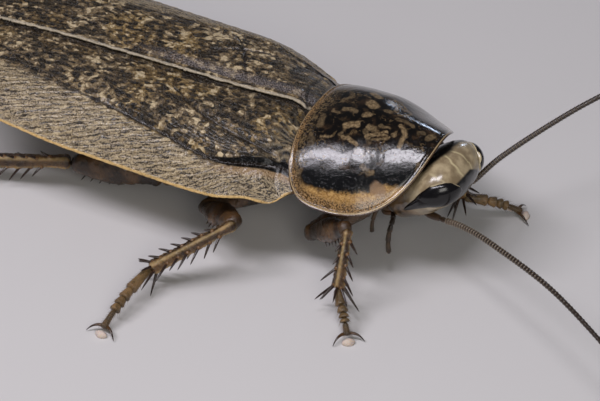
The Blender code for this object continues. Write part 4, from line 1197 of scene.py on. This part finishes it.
def make_eye(name, side, finish, node):
    """A tear-shaped dome on the head's side, with a pale ring round its front end."""
    downs, middles, halves = np.array(EYE_SHAPE).T
    share = (1.0 - np.cos(np.linspace(0.0, math.pi, EYE_ROWS)))[:, None] / 2.0
    down = downs[0] + (downs[-1] - downs[0]) * share
    middle = smooth_curve(down, list(zip(downs, middles)))
    half = np.interp(down, downs, halves)
    turn = np.linspace(-1.0, 1.0, EYE_COLUMNS)[None, :] * 0.5 * math.pi
    base = head_side(down * np.ones_like(turn), middle + half * np.sin(turn), side)
    low = head_side(down, middle - half, side)
    high = head_side(down, middle + half, side)
    flat = low + (high - low) * (0.5 + 0.5 * np.sin(turn))[..., None]

    slope = np.gradient(base[:, EYE_COLUMNS // 2], axis=0)
    outward = unit(np.cross(np.broadcast_to(slope[:, None], base.shape), high - low + 1e-6))
    outward = outward * np.sign(outward[EYE_ROWS // 2, EYE_COLUMNS // 2, 1] * side)
    rise = EYE_BULGE * (half / halves.max()) ** 0.8 * np.cos(turn)
    upper = base * 0.5 + flat * 0.5 + outward * (rise + 0.01)[..., None]
    under = flat[:, ::-1][:, 1:-1:3] - outward[:, :1] * 0.3 * np.sin(math.pi * share)[..., None]
    rim = smooth_step(0.95, 0.99, np.abs(np.sin(turn))) * fade(0.6, 1.0, down)
    rim = np.maximum(rim, fade(0.09, 0.12, down))
    shape = Shape()
    shape.grid(np.hstack([upper, under]), pale=np.hstack([rim, np.zeros(under.shape[:2])]))
    return shape.build(name, finish, "eye", node)


def eye_finish():
    """Nearly black, in fine facets, with a pale ring."""
    finish = Finish("eye", 0.2, 0.2, coat=0.6, coat_roughness=0.16)
    facets = finish.cells(finish.places, 26.0)
    finish.paint((0.002, 0.002, 0.0025))
    finish.paint((0.006, 0.005, 0.006), finish.noise(finish.places, 1.5))
    finish.paint((0.45, 0.38, 0.24), finish.mark("pale").step(0.55, 0.9))
    finish.bump(facets, 0.006, 0.35)
    finish.set("Roughness", facets * 0.1 + 0.16)
    return finish.done()


# Upper lip, two jaws and lower lip: the way across the face and out of it, half width, half depth, and
# the ways down the face of the piece's top and end.
MOUTH_PARTS = (
    (0.0, 0.3, 0.85, 0.36, 4.55, 5.75),
    (-0.62, 0.02, 0.36, 0.3, 4.3, 5.6),
    (0.62, 0.02, 0.36, 0.3, 4.3, 5.6),
    (0.0, -0.4, 0.7, 0.26, 4.1, 5.35),
)


def make_mouth(finish):
    """The upper lip, the jaws beside it and the lower lip behind."""
    shape = Shape()
    for side, out, half_width, half_depth, top, end in MOUTH_PARTS:
        shares = np.linspace(0.0, 1.0, 24)
        across = side * (1.0 - 0.45 * shares)
        path = head_place(top + (end - top) * shares, across, out - 0.3 * shares**2)
        girth = rounded(shares, end - top, 0.5, 0.5) * (1.0 - 0.3 * shares) + 0.02
        rings = tube(path, half_width * girth, half_depth * girth, (0.0, 1.0, 0.0), 28)
        shape.grid(rings, dark=0.2 + 0.5 * shares)
    return shape.build("mouth_parts", finish, "skin", "labrum")


# Feelers, palps and cerci


def rod_hairs(shape, path, radii, spacing, per_ring, length, radius, tilt):
    """Short hairs all round a rod, leaning towards its tip."""
    along = unit(np.gradient(path, axis=0))
    run = way_along(path)
    count = int(run[-1] / spacing)
    for at in run[-1] * (np.arange(count) + 0.5) / count:
        centre = np.array([np.interp(at, run, path[:, axis]) for axis in range(3)])
        way = unit([np.interp(at, run, along[:, axis]) for axis in range(3)])
        radius_here = np.interp(at, run, radii)
        across = unit(np.cross(way, (0.3, 0.2, 1.0)))
        up = np.cross(way, across)
        for turn in 2.0 * math.pi * (np.arange(per_ring) + draw.uniform(0.0, 1.0)) / per_ring:
            outward = across * math.cos(turn) + up * math.sin(turn)
            size = length * draw.uniform(0.7, 1.2)
            root = centre + outward * radius_here * 0.9
            lean_way = unit(outward + way * tilt)
            if (root + lean_way * size)[2] > HAIR_CLEARANCE:
                shape.cone(root, lean_way, size, radius)


def make_feeler(side_name, skin, hair_skin):
    """A feeler of a long first joint, a short second one and a whip of many rings."""
    path = spline(FEELERS[side_name], WHIP_ROWS)
    shares = np.linspace(0.0, 1.0, WHIP_ROWS)
    whip = 0.5 * (WHIP_ROOT_WIDTH + (WHIP_TIP_WIDTH - WHIP_ROOT_WIDTH) * shares**1.5)
    scape = 0.13 + 0.05 * np.sin(math.pi * np.clip(shares / SCAPE_END, 0.0, 1.0))
    half = np.where(shares < SCAPE_END, scape, whip)

    # The whip's rings grow longer along it. Each narrows at its root and has a collar near its end.
    length = way_along(path)[-1] * (1.0 - PEDICEL_END)
    whip_share = np.clip((shares - PEDICEL_END) / (1.0 - PEDICEL_END), 0.0, 1.0)
    growth = RING_LAST - RING_FIRST
    within = length / growth * np.log(1.0 + growth / RING_FIRST * whip_share) % 1.0
    collar = bell(within - 0.86, 0.14) - 0.9 * bell(within - 0.02, 0.06) - 0.9 * bell(within - 1.0, 0.06)
    on_whip = shares > PEDICEL_END
    half = half * (1.0 + 0.16 * collar * on_whip)
    for pinch in (SCAPE_END, PEDICEL_END):
        half = half * (1.0 - 0.3 * bell(shares - pinch, 0.0035))
    half = half * tapered(shares, 0.006)
    shape, hairs = Shape(), Shape()
    # Each ring's collar is marked for its pale rim and painted highlight.
    ring = np.where(on_whip, bell(within - 0.9, 0.09), 0.0)
    shape.grid(tube(path, half, half, (0.0, 0.3, 1.0), 20), ring=ring, along=shares)
    nodes = (f"feeler_{side_name}_{part}" for part in ("base", "near_half", "far_half"))
    shape.build(f"feeler_{side_name}", skin, "feeler", *nodes)
    hairy = slice(WHIP_HAIRS_FROM, None, 6)
    rod_hairs(hairs, path[hairy], half[hairy], *WHIP_HAIRS)
    hairs.build(f"feeler_hairs_{side_name}", hair_skin, "feeler")


def feeler_finish():
    """Amber at the root and dark brown along the whip, with pale rings, partly painted highlight, paler
    near the root.
    """
    finish = Finish("ringed feeler", 0.3, 0.5, coat=0.2, coat_roughness=0.15)
    along = finish.mark("along")
    fine = finish.noise(finish.places, 16.0, 3.0)
    brown = finish.mix(fine, (0.012, 0.007, 0.005), (0.035, 0.02, 0.012))
    finish.paint((0.018, 0.01, 0.006))
    finish.paint((0.09, 0.05, 0.024), finish.noise(finish.places, 3.0))
    finish.paint(brown, along.step(0.05, 0.16))
    # The rings' pale rims are partly their own colour and partly a painted highlight.
    finish.paint((0.33, 0.27, 0.19), finish.mark("ring") * along.step(0.75, 0.05) * 0.8)
    finish.bump(fine, 0.012, 0.5)
    return finish.done()


def make_palps(side_name, side, skin, hair_skin):
    """The long jaw feeler (maxillary palp) of five joints, and the short one behind it."""
    shape, hairs = Shape(), Shape()
    long_route = (
        head_place(4.2, side * 1.35, 0.1),
        head_place(3.7, side * 2.15, 0.35),
        (4.6, side * 2.25, 2.7),
        (4.9, side * 2.4, 1.5),
    )
    short_route = (
        head_place(4.3, side * 0.7, -0.35),
        head_place(4.9, side * 1.2, -0.6),
        (3.3, side * 1.2, 2.0),
        (3.5, side * 1.4, 1.55),
    )
    shares = np.linspace(0.0, 1.0, 160)
    for route, girth, joints in ((long_route, 0.125, 5), (short_route, 0.1, 3)):
        path = bezier(route, shares)
        within = (shares * joints) % 1.0
        pinch = 0.45 * bell(within, 0.05) + 0.45 * bell(within - 1.0, 0.04)
        half = girth * (0.82 + 0.22 * within) * (1.0 - pinch) * tapered(shares, 0.04)
        shape.grid(tube(path, half, half, (1.0, 0.2, 0.0), 20))
        rod_hairs(hairs, path[20::4], half[20::4], *PALP_HAIRS)
    shape.build(f"palps_{side_name}", skin, "palp", f"palp_{side_name}")
    hairs.build(f"palp_hairs_{side_name}", hair_skin, "palp")


def make_cercus(side_name, side, skin, hair_skin):
    """A short ringed tail feeler, with longer hairs."""
    root = np.array([ABDOMEN_TIP_X + 1.35, side * 1.9, 3.75])
    shares = np.linspace(0.0, 1.0, 140)
    path = lean(root + np.array([-2.1, side * 0.95, 0.1]) * shares[:, None])
    within = (shares * 11.0) % 1.0
    half = 0.36 * np.sin(math.pi * (0.28 + 0.68 * shares)) * (0.93 + 0.09 * np.sin(math.pi * within))
    shape, hairs = Shape(), Shape()
    rings = tube(path, half, half, UP, 24)
    shape.grid(rings, ring=bell(within, 0.06), along=0.1 + 0.2 * shares)
    shape.build(f"cercus_shell_{side_name}", skin, "palp", f"cercus_{side_name}")
    rod_hairs(hairs, path[5:-4:4], half[5:-4:4], *CERCUS_HAIRS)
    hairs.build(f"cercus_hairs_{side_name}", hair_skin, "palp")


# Legs


def limb(shape, start, end, thins, deeps, plane, sides, rows, power=0.9, knobs=0.02, **marks):
    """One round-ended piece of a leg, with its girth read from a short list."""
    shares = np.linspace(0.0, 1.0, rows)
    places = np.linspace(0.0, 1.0, len(thins))
    half_thins = smooth_curve(shares, list(zip(places, thins)))
    half_deeps = smooth_curve(shares, list(zip(places, deeps)))
    ends = rounded(shares, np.linalg.norm(end - start), thins[0] * 0.9, thins[-1] * 0.9) + 0.02
    path = start + (end - start) * shares[:, None]
    rings = tube(path, half_thins * ends, half_deeps * ends, plane, sides, power)
    uneven = 0.03 * ripples(rings, 0.6, seed=21) + knobs * ripples(rings, 0.2, seed=22)
    rings = rings + (rings - path[:, None]) * uneven[..., None]
    angles = ring_angles(sides)
    # The ridge mark is highest on the rings' corners, where the finish paints highlight and shade.
    shape.grid(rings, ridge=np.abs(np.sin(2.0 * angles))[None, :] ** 3, **marks)


def thorn(shape, root, way, length, radius):
    """A stout spine, thick to its middle and slightly curved, on a raised round seat."""
    way = unit(way)
    fall = THORN_BEND - way[2]
    if fall > 0.0:
        length = min(length, (root[2] - HAIR_CLEARANCE) / fall)
    shares = np.linspace(0.0, 1.0, 12)
    path = root + (way * shares[:, None] - UP * THORN_BEND * shares[:, None] ** 2) * length
    radii = radius * np.sqrt(1.0 - 0.995 * shares**1.7)
    shape.grid(tube(path, radii, radii, SKEW, 10), dark=0.55 + 0.45 * smooth_step(0.0, 0.25, shares))
    steps, girths, darks = np.array(THORN_SEAT).T
    seat = root + way * steps[:, None] * radius
    shape.grid(tube(seat, girths * radius, girths * radius, SKEW, 14), dark=darks)


def tibia_thorns(shape, knee, ankle, thin, deep, plane, count):
    """Rows of spines down a shin, and a crown of longer ones round its end."""
    along = unit(ankle - knee)
    across = unit(plane - np.dot(plane, along) * along)
    up = np.cross(along, across)
    in_rows = count - CROWN_SPINES
    for index in range(count):
        if index < in_rows:
            share = 0.2 + 0.68 * (index + draw.uniform(-0.2, 0.2)) / in_rows
            turn = (0.5 + index % 3) * 2.1 + draw.uniform(-0.35, 0.35)
            size = 0.6 + 0.45 * share
        else:
            share = draw.uniform(0.92, 0.97)
            turn = index * math.pi * 2 / CROWN_SPINES + 0.6
            size = 1.2
        outward = across * math.cos(turn) + up * math.sin(turn)
        size *= 1.0 - 0.35 * smooth_step(0.1, 0.6, outward[2])
        surface = across * thin * math.cos(turn) + up * deep * math.sin(turn)
        root = knee + (ankle - knee) * share + surface * 0.95
        thorn(shape, root, outward * 0.85 + along * 0.8, size * draw.uniform(0.85, 1.12), TIBIA_THORN)


def femur_thorns(shape, socket, knee, plane, stout, count):
    """A row of short spines under the outer half of a thigh."""
    lift = np.cross(unit(knee - socket), plane)
    if lift[2] > 0:
        lift = -lift
    for index in range(count):
        root = socket + (knee - socket) * (0.42 + 0.5 * index / count) + lift * stout * 0.48
        way = lift + unit(knee - socket) * 0.7
        thorn(shape, root, way, 0.4 * draw.uniform(0.85, 1.15), FEMUR_THORN)


def make_claws(leg, wrist, heading, aside, finish):
    """Two claws that part from the foot's end and bend down to the floor."""
    shape = Shape()
    root = wrist - heading * 0.15
    shares = np.linspace(0.0, 1.0, 22)
    radii = CLAW_RADIUS * (1.0 - 0.9 * shares**1.4) + 0.004
    for side in (-1, 1):
        reach = aside * side
        bend = root + reach * 0.5 + heading * 0.2 + UP * 0.16
        tip = root + reach * 0.76 + heading * 0.46 - UP * 0.26
        path = bezier((root + reach * 0.07, bend, tip), shares)
        shape.grid(tube(path, radii, radii * 1.2, UP, 12), dark=0.55 + 0.4 * shares)
    shape.build(f"{leg}_claws", finish, "leg")


def add_toe_pad(shape, toe, heading, aside):
    """The soft pad between the claws, flat where it meets the floor."""
    angles = ring_angles(TOE_PAD_SPOKES, 0.0)[:, None]
    ahead = heading * TOE_PAD_REACH[0] * np.cos(angles)
    sideways = aside * TOE_PAD_REACH[1] * np.sin(angles) * (1.0 - 0.22 * np.abs(np.cos(angles)))
    outline = ahead + sideways
    shape.grid(np.array([toe + outline * grow + UP * height for height, grow in TOE_PAD_RINGS]))


def make_foot(leg, ankle, toe, plane, skins, hairs):
    """Five joints that widen to their ends, with soles under four, and a pad and claws at the tip."""
    shin_skin, thorn_skin, pad_skin = skins
    heading = unit(np.array([toe[0] - ankle[0], toe[1] - ankle[1], 0.0]))
    aside = np.array([-heading[1], heading[0], 0.0])
    wrist = toe + UP * WRIST_UP - heading * WRIST_BACK
    reach = np.linalg.norm(wrist - ankle)
    control = ankle + (wrist - ankle) * 0.6 + UP * 0.12 * reach
    foot, pads = Shape(), Shape()
    local = np.linspace(0.0, 1.0, 26)
    done = 0.0
    for index, part in enumerate(TARSUS_SHARES):
        last = index == len(TARSUS_SHARES) - 1
        shares = np.linspace(done + 0.005, done + part + 0.012, len(local))
        path = bezier((ankle, control, wrist), np.minimum(shares, 1.012))
        width, widening = LAST_TARSUS_GIRTH if last else TARSUS_GIRTH
        girth = (width + widening * local**1.8) * (rounded(local, part * reach, 0.12, 0.1) + 0.05)
        foot.grid(tube(path, girth, girth, plane, 22), dark=0.35 * local**4 + 0.5 * last, ridge=0.3)
        if not last:
            way = unit(path[-1] - path[-6]) * 0.9 - UP * 0.5
            pads.cone(path[-4] - UP * 0.12, way, SOLE_LENGTH, SOLE_RADIUS, 12, 8)
        rod_hairs(hairs, path, girth, *TARSUS_HAIRS)
        done += part
    foot.build(f"{leg}_tarsus_shell", shin_skin, "leg", f"{leg}_tarsus")
    add_toe_pad(pads, toe, heading, aside)
    pads.build(f"{leg}_pads", pad_skin, "leg")
    make_claws(leg, wrist, heading, aside, thorn_skin)


def make_leg(leg, joints, skins):
    """Coxa and trochanter, femur, tibia, spines, foot and hairs, each a piece of its own."""
    hip, socket, knee, ankle, toe = (np.array(joint) for joint in joints)
    pair = leg.split("_")[0]
    stout = STOUTNESS[pair]
    plane = unit(np.cross(knee - socket, ankle - knee))
    thigh_skin, shin_skin, thorn_skin, pad_skin, hair_skin = skins
    coxa, femur, tibia, spines, hairs = (Shape() for _ in range(5))

    top = hip + (hip - socket) * 0.04
    face = np.array([0.0, math.copysign(0.45, hip[1]), -0.9])
    limb(coxa, top, socket, *COXA_GIRTHS, face, 48, 70, dark=0.0)
    near = socket - unit(knee - socket) * 0.1
    beyond = socket + (knee - socket) * 0.13
    limb(coxa, near, beyond, *TROCHANTER_GIRTHS, plane, 36, 30, dark=0.15)
    coxa.build(f"{leg}_coxa_shell", thigh_skin, "leg", f"{leg}_coxa")

    thins, deeps = np.array(FEMUR_THINS) * stout, np.array(FEMUR_DEEPS) * stout
    knee_dark = 0.6 * smooth_step(0.93, 1.0, np.linspace(0.0, 1.0, 80))
    limb(femur, socket + (knee - socket) * 0.05, knee, thins, deeps, plane, 48, 80, dark=knee_dark)
    femur.build(f"{leg}_femur_shell", thigh_skin, "leg", f"{leg}_femur")

    thin, deep = TIBIA_THIN * stout, TIBIA_DEEP * stout
    swell = np.array(TIBIA_SWELL)
    knee_dark = 0.5 * fade(0.02, 0.07, np.linspace(0.0, 1.0, 150))
    limb(tibia, knee, ankle, thin * swell, deep * swell, plane, 64, 150, 0.66, 0.05, dark=knee_dark)
    tibia.build(f"{leg}_tibia_shell", shin_skin, "leg", f"{leg}_tibia")

    tibia_thorns(spines, knee, ankle, thin, deep, plane, TIBIA_SPINES[pair])
    femur_thorns(spines, socket, knee, plane, stout, FEMUR_SPINES[pair])
    spines.build(f"{leg}_spines", thorn_skin, "leg")
    make_foot(leg, ankle, toe, plane, (shin_skin, thorn_skin, pad_skin), hairs)
    shin = knee + (ankle - knee) * np.linspace(0.05, 0.95, 20)[:, None]
    rod_hairs(hairs, shin, np.full(20, thin), *TIBIA_HAIRS)
    hairs.build(f"{leg}_hairs", hair_skin, "leg")


def thorn_finish():
    """Amber at a spine's seat and dark along it."""
    finish = Finish("dark spine", 0.25, 0.4, coat=0.25, coat_roughness=0.1)
    fine = finish.noise(finish.places, 9.0)
    black = finish.mix(fine, (0.012, 0.006, 0.004), (0.035, 0.016, 0.008))
    finish.paint((0.15, 0.075, 0.026))
    finish.paint(black, finish.mark("dark").step(0.35, 0.9))
    finish.bump(fine, 0.01, 0.4)
    return finish.done()


def pad_finish():
    """Pale and soft, for soles and toe pads."""
    finish = Finish("pale pad", 0.55, 0.35)
    fine = finish.noise(finish.places, 20.0, 3.0)
    finish.paint((0.5, 0.4, 0.33))
    finish.paint((0.72, 0.63, 0.55), fine)
    finish.bump(fine, 0.02, 0.5)
    finish.glow_through(0.3, (0.6, 0.4, 0.2), 0.3)
    return finish.done()


def hair_finish(name, dark, light):
    finish = Finish(name, 0.4, 0.45)
    finish.paint(dark)
    finish.paint(light, finish.noise(finish.places, 3.0))
    return finish.done()


# Camera, floor and lights


def put_in_scene(name, data, x, y, z, place):
    """An object whose own axes are x, y and z, at a place in metres."""
    made = add_object(name, data)
    made.matrix_world = Matrix.Translation(place) @ Matrix((x, y, z)).transposed().to_4x4()
    return made


def make_camera():
    """A camera whose picture shifts so that the looked-at place falls on its pixel."""
    across, tall = PHOTO_SIZE
    right = Vector((math.cos(CAMERA_AZIMUTH), math.sin(CAMERA_AZIMUTH), 0.0))
    level = Vector((math.sin(CAMERA_AZIMUTH), -math.cos(CAMERA_AZIMUTH), 0.0))
    back = level * math.cos(CAMERA_ELEVATION) + Vector(UP) * math.sin(CAMERA_ELEVATION)
    camera = bpy.data.cameras.new("camera")
    camera.sensor_width = SENSOR
    camera.lens = PIXELS_PER_MM * CAMERA_DISTANCE * SENSOR / across
    camera.shift_x = (across / 2.0 - LOOK_AT_PIXEL[0]) / across
    camera.shift_y = (LOOK_AT_PIXEL[1] - tall / 2.0) / across
    camera.clip_start = 0.001
    place = ORIGIN + Vector(LOOK_AT) * MM + back * CAMERA_DISTANCE * MM
    bpy.context.scene.camera = put_in_scene("camera", camera, right, back.cross(right), back, place)


def make_floor():
    """A plain floor, which is stage and no part of the animal."""
    half = FLOOR_HALF * MM
    corners = [(-half, -half, 0.0), (half, -half, 0.0), (half, half, 0.0), (-half, half, 0.0)]
    mesh = bpy.data.meshes.new("floor")
    mesh.from_pydata(corners, [], [(0, 1, 2, 3)])
    finish = Finish("plain floor", 0.75, 0.25)
    finish.paint((0.62, 0.61, 0.6))
    finish.paint((0.66, 0.65, 0.64), finish.noise(finish.places, 0.02))
    mesh.materials.append(finish.done())
    add_object("floor", mesh)


def make_lights():
    """The soft rectangular lights, and a dim sky."""
    for name, way, along, distance, length, width, power, colour in LIGHTS:
        light = bpy.data.lights.new(name, "AREA")
        light.shape = "RECTANGLE"
        light.size = length * MM
        light.size_y = width * MM
        light.energy = power
        light.color = colour
        z = Vector(way).normalized()
        x = Vector(along)
        x = (x - x.dot(z) * z).normalized()
        place = ORIGIN + (Vector(LIGHTS_LOOK_AT) + z * distance) * MM
        put_in_scene(name, light, x, z.cross(x), z, place).visible_camera = False
    sky = bpy.data.worlds.new("studio")
    sky.use_nodes = True
    sky.node_tree.nodes["Background"].inputs["Color"].default_value = SKY[0]
    sky.node_tree.nodes["Background"].inputs["Strength"].default_value = SKY[1]
    bpy.context.scene.world = sky


def main():
    bpy.context.scene.view_settings.view_transform = "Standard"
    make_shield(shield_finish())
    make_wing("wing_shell_left", 1, wing_finish("left wing", 1), "wing_left")
    make_wing("wing_shell_right", -1, wing_finish("right wing", -1), "wing_right")

    shin = cuticle_finish(
        "amber shin",
        (0.035, 0.016, 0.007),
        (0.3, 0.165, 0.06),
        spots=0.8,
        gloss=0.2,
        ridges=0.6,
        grain=0.08,
    )
    thigh = cuticle_finish(
        "amber thigh", (0.018, 0.009, 0.004), (0.12, 0.062, 0.024), spots=0.4, gloss=0.24, grain=0.05
    )
    belly = cuticle_finish("brown belly", (0.1, 0.045, 0.015), (0.32, 0.17, 0.065), spots=0.8, scale=0.8)
    palp = cuticle_finish("amber palp", (0.015, 0.008, 0.004), (0.1, 0.056, 0.022), spots=0.5, grain=0.06)
    hair = hair_finish("amber hair", (0.08, 0.045, 0.02), (0.3, 0.2, 0.1))
    dark_hair = hair_finish("dark hair", (0.012, 0.008, 0.006), (0.05, 0.03, 0.018))
    feeler = feeler_finish()
    eye = eye_finish()
    make_trunk(belly)
    make_head(head_finish())
    make_mouth(cuticle_finish("mouth", (0.1, 0.045, 0.015), (0.3, 0.15, 0.05)))
    for side_name, side in SIDES.items():
        make_eye(f"eye_lens_{side_name}", side, eye, f"eye_{side_name}")
        make_feeler(side_name, feeler, dark_hair)
        make_palps(side_name, side, palp, hair)
        make_cercus(side_name, side, feeler, hair)
    skins = (thigh, shin, thorn_finish(), pad_finish(), hair)
    for leg, joints in LEGS.items():
        make_leg(leg, joints, skins)
    make_floor()
    make_lights()
    make_camera()


main()
